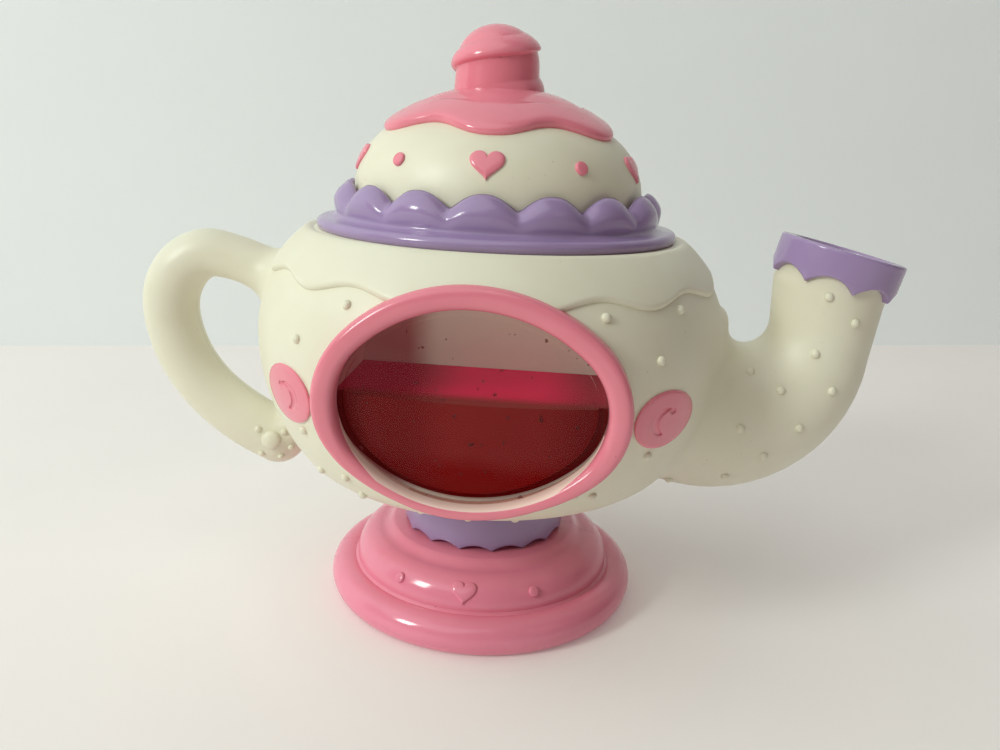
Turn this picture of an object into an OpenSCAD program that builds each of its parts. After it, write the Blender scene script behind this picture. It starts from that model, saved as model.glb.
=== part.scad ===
// Toy teapot on a pedestal, with a tea window and a press-down musical lid.
// The origin is the centre of the foot, on the table. +Z is up, +X points to the
// spout and -Y to the window. All sizes are in millimetres, and angles in degrees.

/* [Body] */
// Radius of the body at its widest ring
body_r = 79.7; // [77:0.1:83]
// Height of the flat underside of the body
body_bottom_z = 33; // [32:0.5:35]
// Radius of the ring that the belly's curve turns about, against the body's radius
belly_ring_share = 0.161857; // [0.15:0.001:0.18]
// Radius of the ring that the shoulder's curve turns about, against the body's radius
shoulder_ring_share = 0.473024; // [0.45:0.001:0.5]
// Height of the widest ring above the underside, against the belly curve's radius
belly_drop_share = 0.958084; // [0.94:0.001:0.97]
// Height of the lid's seat above the widest ring, against the shoulder curve's radius
shoulder_rise_share = 0.816667; // [0.8:0.001:0.84]
// Wall of the moulded shells
shell_wall = 2.5; // [2:0.1:3]
// How far the shoulder icing stands out from the body
shoulder_icing_t = 1.5; // [1:0.1:2]
// Height of the shoulder icing's lowest points above the widest ring, against the curve's radius
shoulder_icing_share = 0.507; // [0.48:0.001:0.54]
// Depth of the waves along the shoulder icing
shoulder_wave_h = 4; // [2:0.1:5]
// Number of waves round the shoulder icing
shoulder_waves = 14; // [8:1:16]

/* [Handle] */
// Distance of the handle's centre line from the body's widest ring
handle_stand = 37.3; // [35:0.1:40]
// Height of the handle's bend centres above the widest ring
handle_rise = 4; // [2:0.5:6]
// Bend radius of the handle's upper curve
handle_top_bend_r = 17; // [15:0.5:19]
// Bend radius of the handle's long lower curve
handle_low_bend_r = 52; // [50:0.5:54]
// Radius of the handle's tube
handle_tube_r = 9.2; // [8:0.1:10]
// Length of the straight root at the handle's upper end
handle_root_len = 22; // [20:0.5:26]
// How much wider than the tube the round heel at the handle's lower end is
heel_swell = 0.9; // [0.6:0.1:1.5]
// Radius of the short root between the heel and the body
heel_root_r = 8; // [6:0.1:9]

/* [Spout] */
// Radius of the spout's outer, lower curve
spout_low_bend_r = 52.3; // [50:0.1:55]
// How far that curve's centre lies inside the widest ring
spout_low_bend_in = 2.7; // [1:0.1:4]
// Radius of the crotch curve between the spout and the body
spout_crotch_r = 8; // [7:0.1:9]
// How far the crotch curve's centre lies outside the widest ring
spout_crotch_out = 8.3; // [7:0.1:10]
// Height of the crotch curve's centre above the widest ring
spout_crotch_rise = 8.5; // [7:0.1:10]
// Distance of the mouth's centre from the body's widest ring
mouth_out = 36.9; // [35:0.1:39]
// Height of the mouth's centre above the widest ring
mouth_rise = 34.9; // [33:0.1:37]
// Radius of the spout's tube under its rim
spout_tube_r = 18.4; // [17:0.1:20]
// Thickness of the rim band at the mouth
rim_t = 1.9; // [1.5:0.1:2.4]
// Height of the rim band
rim_h = 12.5; // [10:0.5:14]
// Depth of the waves along the rim band
rim_wave_h = 3.5; // [1:0.1:5]
// Number of waves round the rim band
rim_waves = 8; // [6:1:14]

/* [Window] */
// Half of the oval window's width, on the middle line of its bezel, against the body's radius
window_a_share = 0.526976; // [0.5:0.001:0.55]
// Half of the oval window's height, on the middle line of its bezel, against the body's radius
window_b_share = 0.396487; // [0.38:0.001:0.41]
// Radius of the oval's two ends, against the body's radius
window_end_share = 0.313676; // [0.29:0.001:0.34]
// How far the window's centre lies below the widest ring
window_drop = 7.5; // [6:0.1:9]
// Width of the bezel ring
bezel_w = 6.8; // [6:0.1:8]
// How far the bezel's crest lies inside the widest ring
bezel_in = 5.1; // [4:0.1:6]
// Depth of the bezel's rounded front
bezel_depth = 5.6; // [4.5:0.1:6.5]
// Bulge radius of the lens
lens_curve_r = 150; // [130:1:180]
// Thickness of the lens
lens_t = 2; // [1.5:0.1:2.5]
// Distance from the body's axis to the back of the tea tub
pan_back = 29; // [27:0.5:32]
// Wall of the tea tub
pan_wall = 1.8; // [1.2:0.1:2]
// Height of the tea above the window's centre
tea_rise = 1.5; // [0.5:0.1:12]
// Radius of the two medallions beside the window
medallion_r = 9.4; // [8:0.1:10]
// Distance of the medallions' centres from the middle plane, against the body's radius
medallion_x_share = 0.700125; // [0.69:0.001:0.715]
// How far the medallions' centres lie below the widest ring
medallion_drop = 11.4; // [8:0.1:14]
// How far the medallions stand out from the body
medallion_t = 1.2; // [0.8:0.1:1.8]

/* [Base] */
// Radius of the base
base_r = 56; // [54:0.1:58]
// Radius of the round bead along the foot
bead_r = 6.2; // [5.8:0.1:6.6]
// Height of the bead's centre
bead_z = 5.5; // [5.2:0.1:5.8]
// Radius of the upper tier's round shoulder
tier_r = 13; // [12:0.1:14]
// Radius of the ring that the tier's shoulder turns about
tier_ring_r = 34.5; // [33.5:0.1:35.5]
// Height of the flat top of the base
base_top_z = 24.5; // [24:0.1:25]
// Outer radius of the neck ring
neck_r = 29.2; // [28.5:0.1:30]
// Depth of the scallops under the neck ring
neck_scallop_h = 1.3; // [0.8:0.1:2]
// Number of scallops round the neck and the lid collar
scallops = 16; // [12:1:20]
// Outer radius of the tube that joins the base to the body
spigot_r = 23.7; // [22.5:0.1:24.5]
// Width of the hearts on the base
base_heart_w = 7.4; // [5:0.1:9]
// Width of the hearts on the dome
dome_heart_w = 10.4; // [8:0.1:12]

/* [Lid] */
// Outer radius of the collar's flange, against the body's radius
flange_share = 0.757842; // [0.74:0.001:0.765]
// Height of the collar's flange
flange_h = 3.8; // [3:0.1:5]
// Outer radius of the collar's scalloped ring, against the body's radius
collar_share = 0.677541; // [0.665:0.001:0.69]
// Height of the tops of the collar's scallops above the lid's seat
collar_rise = 15.2; // [14:0.1:17]
// Depth of the collar's scallops
collar_scallop_h = 5; // [4:0.1:6]
// Radius of the dome, against the body's radius
dome_share = 0.602258; // [0.59:0.001:0.61]
// Radius of the dome's round shoulder
dome_curve_r = 24; // [23:0.1:25]
// Height of the flat top of the dome, under the icing, above the lid's seat
dome_rise = 36.7; // [35.5:0.1:38]
// Length of the lid's downward travel
lid_travel = 3; // [2:0.1:4]
// Radius of the icing cap at its tips, against the body's radius
icing_share = 0.498118; // [0.48:0.001:0.51]
// Radius of the icing cap's rounded top, against the body's radius
icing_curve_share = 0.813049; // [0.76:0.001:0.88]
// Height of the icing cap's rounded top above the dome, on the axis
icing_rise = 10.6; // [9.5:0.1:11.5]
// Depth of the bites between the icing's lobes
icing_bite = 4.7; // [3:0.1:6]
// Number of lobes round the icing cap
icing_lobes = 8; // [6:1:10]
// Radius of the knob
knob_r = 14; // [12:0.1:15]
// Height of the knob above the icing cap
knob_h = 18.9; // [17:0.1:21]
// Height of the knob's rounded top
knob_cap_h = 8; // [6:0.1:10]
// Sideways set of the knob on the icing
knob_shift = 2; // [0:0.1:3]
// Radius of the ridge that swirls round the knob
swirl_r = 2.6; // [2:0.1:3.2]
// Slope of that ridge
swirl_tilt = 18.6; // [10:0.1:25]

/* [Workings] */
// Radius of the lid's guide stem
stem_r = 6; // [5:0.1:7]
// Running clearance of sliding pins in their bores
slide_gap = 0.05; // [0.03:0.01:0.09]
// Clearance between pieces that only lie next to each other
fit_gap = 0.3; // [0.2:0.05:0.4]
// Diameter of one cell
cell_d = 14.5; // [14:0.1:14.8]
// Length of one cell without its nub
cell_len = 49.2; // [48.5:0.1:50]
// Number of cells
cells = 3; // [2:1:3]
// Radius of the speaker
speaker_r = 20; // [18:0.5:21]
// Length of the circuit board
board_len = 66; // [64:1:70]
// Width of the circuit board
board_w = 44; // [42:1:46]
// Travel of the power switch
power_travel = 3.4; // [2.5:0.1:4]
// Travel of the ball in the tilt switch
ball_travel = 4.4; // [3:0.1:5]

/* [Hidden] */
$fn = 96;
small_fn = 48;

// One overrun for every cut, and a length that reaches past the whole toy
over = 1;
far = 3 * body_r;
// Where two bends meet, the thinner one runs a little way into the other
join_lap = 0.04;
join_lap_deg = 1;
// Width of a scallop's cutter against the room it has
cutter_share = 0.97;
// How far a scallop's round would rise above the ring, against its depth
crest_share = 0.08;

// Colours
cream = "#e9e6cf";
pink = "#f59db0";
lavender = "#a28bc0";
steel = "#b9bcc0";
brass = "#c9a85a";
green = "#3d7a4d";
black = "#2b2b2e";
white = "#ecebe7";
copper = "#b9653a";

// Body profile: two arcs that meet at the widest ring
belly_cx = belly_ring_share * body_r;
shoulder_cx = shoulder_ring_share * body_r;
belly_curve_r = body_r - belly_cx;
shoulder_curve_r = body_r - shoulder_cx;
body_widest_z = body_bottom_z + belly_drop_share * belly_curve_r;
body_top_z = body_widest_z + shoulder_rise_share * shoulder_curve_r;
shoulder_icing_z = body_widest_z + shoulder_icing_share * shoulder_curve_r;
flange_r = flange_share * body_r;
collar_r = collar_share * body_r;
dome_r = dome_share * body_r;
neck_hole_r = spigot_r + fit_gap;
skirt_gap = fit_gap;
skirt_out = 1.7;
skirt_r = collar_r + skirt_out;
lid_hole_r = skirt_r + skirt_gap;

// Handle places in the middle plane
handle_z = body_widest_z + handle_rise;
handle_x = body_r + handle_stand;
handle_top_cx = -(handle_x - handle_top_bend_r);
handle_low_cx = -(handle_x - handle_low_bend_r);
handle_start_deg = 180;
handle_top_sweep = 120;
handle_low_sweep = 71;
handle_low_deg = handle_start_deg + handle_low_sweep;
heel_r = handle_tube_r + heel_swell;
heel_lap_share = 0.95;
heel_root_share = 1.5;
heel_shift = heel_lap_share * sqrt(pow(heel_r, 2) - pow(handle_tube_r, 2));
heel_x = handle_low_cx + handle_low_bend_r * cos(handle_low_deg) - heel_shift * sin(handle_low_deg);
heel_z = handle_z + handle_low_bend_r * sin(handle_low_deg) + heel_shift * cos(handle_low_deg);
heel_root_deg = atan2(body_widest_z - heel_z, -belly_cx - heel_x);
heel_root_len = norm([-belly_cx - heel_x, body_widest_z - heel_z]) - belly_curve_r
    + heel_root_share * shell_wall;

// Spout places in the middle plane
spout_low_cx = body_r - spout_low_bend_in;
crotch_cx = body_r + spout_crotch_out;
crotch_cz = body_widest_z + spout_crotch_rise;
mouth_x = body_r + mouth_out;
mouth_z = body_widest_z + mouth_rise;
mouth_tilt = 12.7;
spout_low_start_deg = -108;
spout_low_end_deg = -2;
crotch_start_deg = -165;
crotch_end_deg = 0;
spout_root_share = 0.8;
root_ring_share = 0.7;
spout_steps = 9;
tube_sides = 28;
rim_lip = 2.7;
rim_run = 15;
mouth_bore_r = spout_tube_r - shell_wall;

// Oval window: four tangent arcs
window_a = window_a_share * body_r;
window_b = window_b_share * body_r;
window_end_r = window_end_share * body_r;
window_z = body_widest_z - window_drop;
bezel_front = body_r - bezel_in;
tea_level_z = window_z + tea_rise;
medallion_x = medallion_x_share * body_r;
medallion_z = body_widest_z - medallion_drop;
window_side_r = (pow(window_a - window_end_r, 2) + pow(window_b, 2) - pow(window_end_r, 2))
    / (2 * (window_b - window_end_r));
window_end_cx = window_a - window_end_r;
window_side_cz = window_side_r - window_b;
window_join_deg = atan2(window_side_cz, window_end_cx);
window_join_x = window_end_cx + window_end_r * cos(window_join_deg);
bezel_half = bezel_w / 2;
bezel_seat = bezel_front - bezel_depth;
lens_sink = 1;
lens_front = bezel_front - lens_sink;
lens_edge = 0.5;
lens_in = bezel_half + fit_gap;
lens_flange_t = 3.6;
lens_seat = bezel_seat - lens_flange_t;
pan_flange_t = 2;
ledge_front = lens_seat - pan_flange_t;
ledge_t = 2.4;
ledge_in = 0.6;
pan_side = 1;
frame_t = 2.4;
bezel_skirt_in = 0.9;

// Base profile
bead_ring_r = base_r - bead_r;
tier_z = base_top_z - tier_r;
foot_lip = 3.4;
foot_open_r = bead_ring_r - foot_lip;
plate_r = foot_open_r - fit_gap;
plate_z = 1.5;
plate_t = 2.5;
plate_top = plate_z + plate_t;
spigot_wall = 2.7;
spigot_flange_w = 3.3;
spigot_flange_z = body_bottom_z + shell_wall + fit_gap;
spigot_flange_t = 2.2;
spigot_top = spigot_flange_z + spigot_flange_t;
ornament_t = 0.8;
base_ornaments = 6;
base_ornament_deg = 30;
base_dot_r = 1.6;
dome_ornaments = 5;
dome_ornament_deg = 26;
dome_ornament_t = 0.9;
dome_dot_r = 2.1;
heart_lobe_share = 0.29;

// Lid levels, from the top down
collar_top_z = body_top_z + collar_rise;
dome_top_z = body_top_z + dome_rise;
icing_top_z = dome_top_z + icing_rise;
knob_top_z = icing_top_z + knob_h;
icing_r = icing_share * body_r;
icing_curve_r = icing_curve_share * body_r;
dome_wall = 2.5;
dome_cx = dome_r - dome_curve_r;
dome_cz = dome_top_z - dome_curve_r;
dome_lift = 1.2;
dome_bottom_z = body_top_z + dome_lift;
dome_inner_top = dome_top_z - dome_wall;
collar_gap = 1.2;
collar_in_r = dome_r + collar_gap;
deck_t = 2.5;
deck_drop = 7.3;
deck_z = body_top_z - deck_drop;
deck_top = deck_z + deck_t;
bush_wall = 3;
bush_rise = 13.5;
bush_top = deck_top + bush_rise;
bush_drop = 12;
bush_bottom = deck_z - bush_drop;
washer_r = stem_r + bush_wall;
washer_t = 1.5;
lid_screw_r = 1.5;
lid_screw_head_r = 3.5;
lid_screw_head_h = 2.5;
lid_screw_len = 9;
screw_head_z = bush_bottom - washer_t - lid_screw_head_h;
spring_wire_r = 0.6;
spring_room = 2;
spring_r = washer_r + spring_room;
spring_turns = 7;
spring_steps = 12;
spring_sides = 6;
icing_cz = icing_top_z - icing_curve_r;
bite_r = 14;
bite_x = icing_r - icing_bite + bite_r;
knob_cap_r = (pow(knob_r, 2) + pow(knob_cap_h, 2)) / (2 * knob_cap_h);
swirl_drop = 2.5;
swirl_z = knob_top_z - knob_cap_h - swirl_drop;

// Board and what stands on it
plunger_r = 2.5;
plunger_len = 10;
switch_side = 10;
switch_floor = 1;
switch_h = 8.4;
switch_room = 6;
switch_top = screw_head_z - switch_room;
board_top = switch_top - switch_h;
board_t = 1.6;
board_z = board_top - board_t;
post_r = 3.5;
post_edge = 5;
post_x = board_len / 2 - post_edge;
post_y = board_w / 2 - post_edge;
board_screw_r = 1.2;
board_screw_head_r = 2.6;
board_screw_head_h = 1.8;
board_screw_len = 10;
can_r = 3;
ball_r = 2.2;
can_bore_r = ball_r + fit_gap;
can_end = 0.8;
can_x = 12;
can_y = -13;
can_bore_len = ball_travel + 2 * ball_r + 2 * fit_gap;
chip_r = 6;
chip_h = 2;
chip_x = 18;
chip_y = 2;
capacitor_r = 3;
capacitor_h = 8;
lead_r = 0.7;
battery_lead_x = 7;
battery_lead_y = 8;
speaker_lead_x = 15;
speaker_lead_start = 12;

// Speaker in its well on the rear shell
speaker_z = body_widest_z;
speaker_in = 12.8;
speaker_front = body_r - speaker_in;
speaker_rim_t = 2.3;
speaker_cone_h = 4.6;
speaker_lead_share = 0.7;
speaker_magnet_r = 12;
speaker_magnet_h = 8;
speaker_well_t = 2.7;
speaker_ledge_w = 2.8;
well_depth = 7;
well_back = speaker_front - well_depth;
cone_r = 16.5;
cone_t = 1;
cone_recess = 1.4;
grille_hole_r = 1.6;
grille_pitch = 6;
grille_rings = 2;

// Shell screws along Y
shell_boss_r = 5;
shell_screw_r = 1.25;
shell_screw_head_r = 3;
shell_screw_head_h = 2.5;
shell_screw_seat = 12;
shell_screw_len = 26;
low_boss_in = 17.7;
low_boss_drop = 23;
high_boss_in = 23.7;
high_boss_drop = 8;
low_boss_x = body_r - low_boss_in;
low_boss_z = body_widest_z - low_boss_drop;
high_boss_x = body_r - high_boss_in;
high_boss_z = deck_z - high_boss_drop;
shell_bosses = [[low_boss_x, low_boss_z], [-low_boss_x, low_boss_z], [high_boss_x, high_boss_z],
    [-high_boss_x, high_boss_z]];

// Collar screws through the body's lip
collar_screw_ring_r = (lid_hole_r + flange_r) / 2;
collar_screw_r = 0.9;
collar_screw_head_r = 1.5;
collar_screw_head_h = 1.6;
collar_screw_bite = 2.8;
collar_screw_count = 4;
collar_screw_start_deg = 45;

// Battery tray, door and power switch
tray_wall = 1.6;
contact_gap = 3.2;
tray_len = cell_len + 2 * contact_gap;
cell_room = 0.5;
cell_pitch = cell_d + cell_room;
tray_w = cells * cell_pitch;
door_t = 2;
tray_z = plate_z + door_t;
cell_z = tray_z + fit_gap + cell_d / 2;
tray_top = cell_z + cell_d / 2 + fit_gap;
door_lap = 3;
door_len = tray_len + 2 * door_lap;
door_w = tray_w + 2 * door_lap;
door_tab_w = 14;
door_screw_out = 4.5;
door_tab_out = 5;
door_screw_x = -(door_len / 2 + door_screw_out);
door_tab_x = door_screw_x - door_tab_out;
door_screw_r = 1.5;
door_screw_head_r = 3;
door_screw_head_h = 1.2;
door_screw_len = 9;
door_boss_r = 3.5;
nub_r = 2.7;
nub_h = 1;
contact_t = 0.4;
contact_w = 9;
contact_spring_r = 4.5;
contact_spring_tip_r = 2.5;
plate_boss_r = 3.3;
plate_boss_in = 6;
plate_boss_ring_r = plate_r - plate_boss_in;
plate_boss_deg = 30;
plate_screw_r = 1.2;
plate_screw_head_r = 2.6;
plate_screw_head_h = 1.3;
plate_screw_len = 11;
power_out = 9.5;
power_x = tray_len / 2 + tray_wall + power_out;
power_w = 8;
power_len = 14;
power_h = 6;
power_knob_w = 3.4;
power_knob_len = 5;
power_knob_z = 0.7;
power_knob_lap = 1.3;
power_knob_top = plate_top + power_knob_lap;

// Area of the body's half profile, drawn in from the outside by inset
module body_profile(inset) {
    intersection() {
        union() {
            intersection() {
                translate([belly_cx, body_widest_z]) circle(r = belly_curve_r - inset);
                square([far, body_widest_z]);
            }
            intersection() {
                translate([shoulder_cx, body_widest_z]) circle(r = shoulder_curve_r - inset);
                translate([0, body_widest_z]) square([far, far]);
            }
            translate([0, body_widest_z]) square([shoulder_cx, far]);
        }
        translate([0, body_bottom_z + max(inset, 0)])
            square([far, body_top_z - body_bottom_z - 2 * max(inset, 0)]);
    }
}

// Filled oval of the window, grown outwards by grow
module window_oval(grow) {
    for (side = [-1, 1]) translate([side * window_end_cx, 0]) circle(r = window_end_r + grow);
    intersection() {
        translate([0, -window_side_cz]) circle(r = window_side_r + grow);
        translate([0, window_side_cz]) circle(r = window_side_r + grow);
        square([2 * (window_join_x + grow * cos(window_join_deg)), far], center = true);
    }
}

// Prism of the window's oval from one distance in front of the axis to another
module window_prism(grow, from_y, to_y, hole = undef) {
    translate([0, -from_y, window_z]) rotate([90, 0, 0]) linear_extrude(to_y - from_y)
        difference() {
            window_oval(grow);
            if (hole != undef) window_oval(hole);
        }
}

// Cylinder along Y from one Y to another
module y_rod(x, z, from_y, to_y, r) {
    translate([x, to_y, z]) rotate([90, 0, 0]) cylinder(r = r, h = to_y - from_y, $fn = small_fn);
}

// Half space in front of the middle plane (side -1) or behind it (side 1)
module half_space(side) {
    translate([0, side * far / 2, far / 2]) cube([2 * far, far, 3 * far], center = true);
}

// Heart of a given width, centred on its lobes' middle, with its point down
module heart(w) {
    lobe = w * heart_lobe_share;
    leg = w / 2 - lobe;
    rotate(45) translate([-lobe, -lobe]) {
        square([2 * lobe, 2 * lobe]);
        translate([2 * lobe, lobe]) circle(r = lobe, $fn = small_fn);
        translate([lobe, 2 * lobe]) circle(r = lobe, $fn = small_fn);
    }
    translate([0, -leg]) circle(r = leg / 2, $fn = small_fn);
}

// Places a flat ornament on a ring-shaped shoulder: its ring radius, height and
// angle up the shoulder, from a depth below the surface to far outside it
module on_shoulder(az, ring_r, ring_z, shoulder_r, up_deg, h) {
    rotate([0, 0, az]) translate([0, -ring_r, ring_z]) rotate([90 - up_deg, 0, 0])
        translate([0, 0, shoulder_r - h]) linear_extrude(2 * h) children();
}

// Cutters between the lobes of an edge that points up, on a round wall from r_in to
// r_out. The lobes are lobe_h tall, and top_z is the height of their tops
module scallop_cutters(count, r_in, r_out, lobe_h, top_z) {
    from_r = r_in * cos(180 / count) - over;
    half_w = cutter_share * from_r * tan(180 / count);
    crest = crest_share * lobe_h;
    lobe_r = (pow(half_w, 2) + pow(lobe_h + crest, 2)) / (2 * (lobe_h + crest));
    for (i = [0:count - 1]) rotate([0, 0, (i + 0.5) * 360 / count])
        translate([0, -from_r, top_z]) rotate([90, 0, 0]) linear_extrude(r_out + over - from_r)
            difference() {
                translate([-half_w, -lobe_h - over]) square([2 * half_w, lobe_h + crest + 2 * over]);
                for (side = [-1, 1]) translate([side * half_w, crest - lobe_r]) circle(r = lobe_r);
            }
}

// Cutters for arches along an edge that points down, on a round wall from r_in to r_out.
// The arches are arch_h tall, and bottom_z is the height of the edge
module arch_cutters(count, r_in, r_out, arch_h, bottom_z) {
    from_r = r_in * cos(180 / count) - over;
    half_w = cutter_share * from_r * tan(180 / count);
    arch_r = (pow(half_w, 2) + pow(arch_h, 2)) / (2 * arch_h);
    for (i = [0:count - 1]) rotate([0, 0, i * 360 / count])
        translate([0, -from_r, bottom_z + arch_h - arch_r]) rotate([90, 0, 0])
            cylinder(r = arch_r, h = r_out + over - from_r);
}

// A ring of points about a centre in the middle plane: [centre x, centre z, slope of
// the ring's long axis, half size in the middle plane, half size along Y]
function ring_points(ring, shrink) = [
    for (i = [0:tube_sides - 1])
        let (turn = (i + 0.5) * 360 / tube_sides, flat = (ring[3] - shrink) * cos(turn))
        [ring[0] + flat * cos(ring[2]), (ring[4] - shrink) * sin(turn), ring[1] + flat * sin(ring[2])]
];

// Closed tube through a list of rings
module ring_tube(rings, shrink) {
    last = len(rings) - 1;
    points = [for (ring = rings) each ring_points(ring, shrink)];
    sides = [
        for (k = [0:last - 1], i = [0:tube_sides - 1])
            let (j = (i + 1) % tube_sides, a = k * tube_sides, b = a + tube_sides)
            each [[a + i, b + i, b + j], [a + i, b + j, a + j]]
    ];
    near_cap = [for (i = [0:tube_sides - 1]) i];
    far_cap = [for (i = [tube_sides - 1:-1:0]) last * tube_sides + i];
    polyhedron(points = points, faces = concat([near_cap], sides, [far_cap]), convexity = 4);
}

// Spout rings: the lower edge follows the long curve and the upper edge the crotch
function spout_edge_ring(t) =
    let (
        low = spout_low_start_deg + t * (spout_low_end_deg - spout_low_start_deg),
        up = crotch_start_deg + t * (crotch_end_deg - crotch_start_deg),
        lx = spout_low_cx + spout_low_bend_r * cos(low),
        lz = body_widest_z + spout_low_bend_r * sin(low),
        ux = crotch_cx + spout_crotch_r * cos(up),
        uz = crotch_cz + spout_crotch_r * sin(up),
        half = norm([lx - ux, lz - uz]) / 2,
        slope = atan2(lz - uz, lx - ux),
        deep = spout_root_share + t * (1 - spout_root_share)
    )
    [(lx + ux) / 2, (lz + uz) / 2, slope, half, half * deep];

// Ring of the straight run under the mouth, at a depth below the mouth's plane
function mouth_ring(depth) = [
    mouth_x - depth * sin(mouth_tilt), mouth_z - depth * cos(mouth_tilt), -mouth_tilt,
    spout_tube_r, spout_tube_r
];

// Ring inside the body, behind the first ring of the spout
function spout_root_ring() =
    let (first = spout_edge_ring(0))
    [first[0] * root_ring_share, first[1], first[2], first[3] * root_ring_share, first[4] * root_ring_share];

function spout_rings(end_depth) = concat(
    [spout_root_ring()],
    [for (k = [0:spout_steps]) spout_edge_ring(k / spout_steps)],
    [mouth_ring(rim_run), mouth_ring(end_depth)]
);

// Solid of the handle with its tube drawn in by inset
module handle_solid(inset) {
    tube = handle_tube_r - inset;
    top_end = handle_start_deg - handle_top_sweep;
    translate([handle_top_cx, 0, handle_z]) rotate([90, 0, 0]) rotate([0, 0, top_end - join_lap_deg])
        rotate_extrude(angle = handle_top_sweep + 2 * join_lap_deg)
            translate([handle_top_bend_r, 0]) circle(r = tube - join_lap);
    translate([handle_low_cx, 0, handle_z]) rotate([90, 0, 0]) rotate([0, 0, handle_start_deg])
        rotate_extrude(angle = handle_low_sweep) translate([handle_low_bend_r, 0]) circle(r = tube);
    translate([handle_top_cx + handle_top_bend_r * cos(top_end), 0,
        handle_z + handle_top_bend_r * sin(top_end)])
        rotate([0, 180 - top_end, 0]) cylinder(r = tube, h = handle_root_len);
    translate([heel_x, 0, heel_z]) {
        sphere(r = heel_r - inset);
        rotate([0, 90 - heel_root_deg, 0]) cylinder(r = heel_root_r - inset, h = heel_root_len);
    }
}

// Raised layer of icing over the shoulder, with a wavy lower edge
module shoulder_icing() {
    difference() {
        rotate_extrude() intersection() {
            difference() {
                body_profile(-shoulder_icing_t);
                body_profile(shell_wall / 2);
            }
            translate([shoulder_cx, shoulder_icing_z]) square([far, body_top_z - shoulder_icing_z]);
        }
        arch_cutters(shoulder_waves, body_r - shoulder_curve_r / 4, body_r, shoulder_wave_h,
            shoulder_icing_z);
    }
}

// Everything inside the shells' outer faces
module body_outer() {
    rotate_extrude() body_profile(0);
    shoulder_icing();
    handle_solid(0);
    ring_tube(spout_rings(rim_lip + fit_gap), 0);
}

// Everything inside the shells' inner faces
module body_inner() {
    rotate_extrude() body_profile(shell_wall);
    handle_solid(shell_wall);
    ring_tube(spout_rings(rim_lip - over), shell_wall);
}

// One half of the body, before its openings
module body_half(side) {
    intersection() {
        difference() {
            body_outer();
            body_inner();
            translate([0, 0, body_bottom_z - over]) cylinder(r = neck_hole_r, h = shell_wall + 2 * over);
            translate([0, 0, body_top_z - shell_wall - over]) cylinder(r = lid_hole_r, h = shell_wall + 2 * over);
        }
        half_space(side);
    }
}

// Screw bosses of one half of the body, from the middle plane to the wall
module body_bosses(side) {
    intersection() {
        for (p = shell_bosses)
            y_rod(p[0], p[1], side < 0 ? -body_r : 0, side < 0 ? 0 : body_r, shell_boss_r);
        rotate_extrude() body_profile(shell_wall / 2);
    }
}

// Clearance holes in the body's lip for the collar's screws
module collar_screw_places() {
    for (i = [0:collar_screw_count - 1])
        rotate([0, 0, collar_screw_start_deg + i * 360 / collar_screw_count])
            translate([collar_screw_ring_r, 0, 0]) children();
}

module lip_holes() {
    collar_screw_places() translate([0, 0, body_top_z - shell_wall - over])
        cylinder(r = collar_screw_r + fit_gap / 2, h = shell_wall + 2 * over, $fn = small_fn);
}

// Oval tube and ledge that hold the window's pieces
module window_frame() {
    inner = bezel_half + fit_gap;
    intersection() {
        union() {
            window_prism(inner + frame_t, ledge_front - ledge_t, far, inner);
            window_prism(inner + frame_t, ledge_front - ledge_t, ledge_front, -ledge_in);
        }
        rotate_extrude() body_profile(0);
    }
}

module body_front_shell() {
    color(cream) difference() {
        union() {
            difference() {
                body_half(-1);
                window_prism(bezel_half + fit_gap, ledge_front, far);
            }
            window_frame();
            body_bosses(-1);
        }
        lip_holes();
        for (p = shell_bosses)
            y_rod(p[0], p[1], shell_screw_seat - shell_screw_len - over, over, shell_screw_r + slide_gap);
    }
}

// Places of the speaker grille's holes
module grille_holes() {
    for (ring = [0:grille_rings], i = [0:max(6 * ring, 1) - 1])
        let (turn = i * 360 / max(6 * ring, 1))
        y_rod(ring * grille_pitch * cos(turn), speaker_z + ring * grille_pitch * sin(turn),
            speaker_front, far, grille_hole_r);
}

// Round well on the rear wall that the speaker is pushed into
module speaker_well() {
    well_r = speaker_r + fit_gap;
    intersection() {
        union() {
            difference() {
                y_rod(0, speaker_z, well_back, body_r, well_r + speaker_well_t);
                y_rod(0, speaker_z, well_back - over, body_r + over, well_r);
            }
            difference() {
                y_rod(0, speaker_z, speaker_front, body_r, well_r + speaker_well_t / 2);
                y_rod(0, speaker_z, speaker_front - over, body_r + over, speaker_r - speaker_ledge_w);
            }
        }
        rotate_extrude() body_profile(shell_wall / 2);
    }
}

module body_rear_shell() {
    color(cream) difference() {
        union() {
            body_half(1);
            body_bosses(1);
            speaker_well();
        }
        lip_holes();
        grille_holes();
        for (p = shell_bosses) {
            y_rod(p[0], p[1], -over, shell_screw_seat + over, shell_screw_r + fit_gap);
            y_rod(p[0], p[1], shell_screw_seat, far, shell_screw_head_r + fit_gap);
        }
    }
}

// Rim band on the mouth, in the mouth's own frame with its top at height 0
module rim_band() {
    outer = spout_tube_r + fit_gap + rim_t;
    difference() {
        rotate_extrude() polygon([[mouth_bore_r, 0], [outer, 0], [outer - fit_gap, -rim_h],
            [spout_tube_r + fit_gap, -rim_h], [spout_tube_r + fit_gap, -rim_lip], [mouth_bore_r, -rim_lip]]);
        arch_cutters(rim_waves, spout_tube_r, outer, rim_wave_h, -rim_h);
    }
}

module spout_rim() {
    color(lavender) translate([mouth_x, 0, mouth_z]) rotate([0, mouth_tilt, 0]) rim_band();
}

module neck_ring() {
    height = body_bottom_z - base_top_z - fit_gap;
    color(lavender) translate([0, 0, base_top_z + fit_gap / 2]) difference() {
        cylinder(r = neck_r, h = height);
        translate([0, 0, -over]) cylinder(r = spigot_r + fit_gap / 2, h = height + 2 * over);
        arch_cutters(scallops, spigot_r, neck_r, neck_scallop_h, 0);
    }
}

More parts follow.
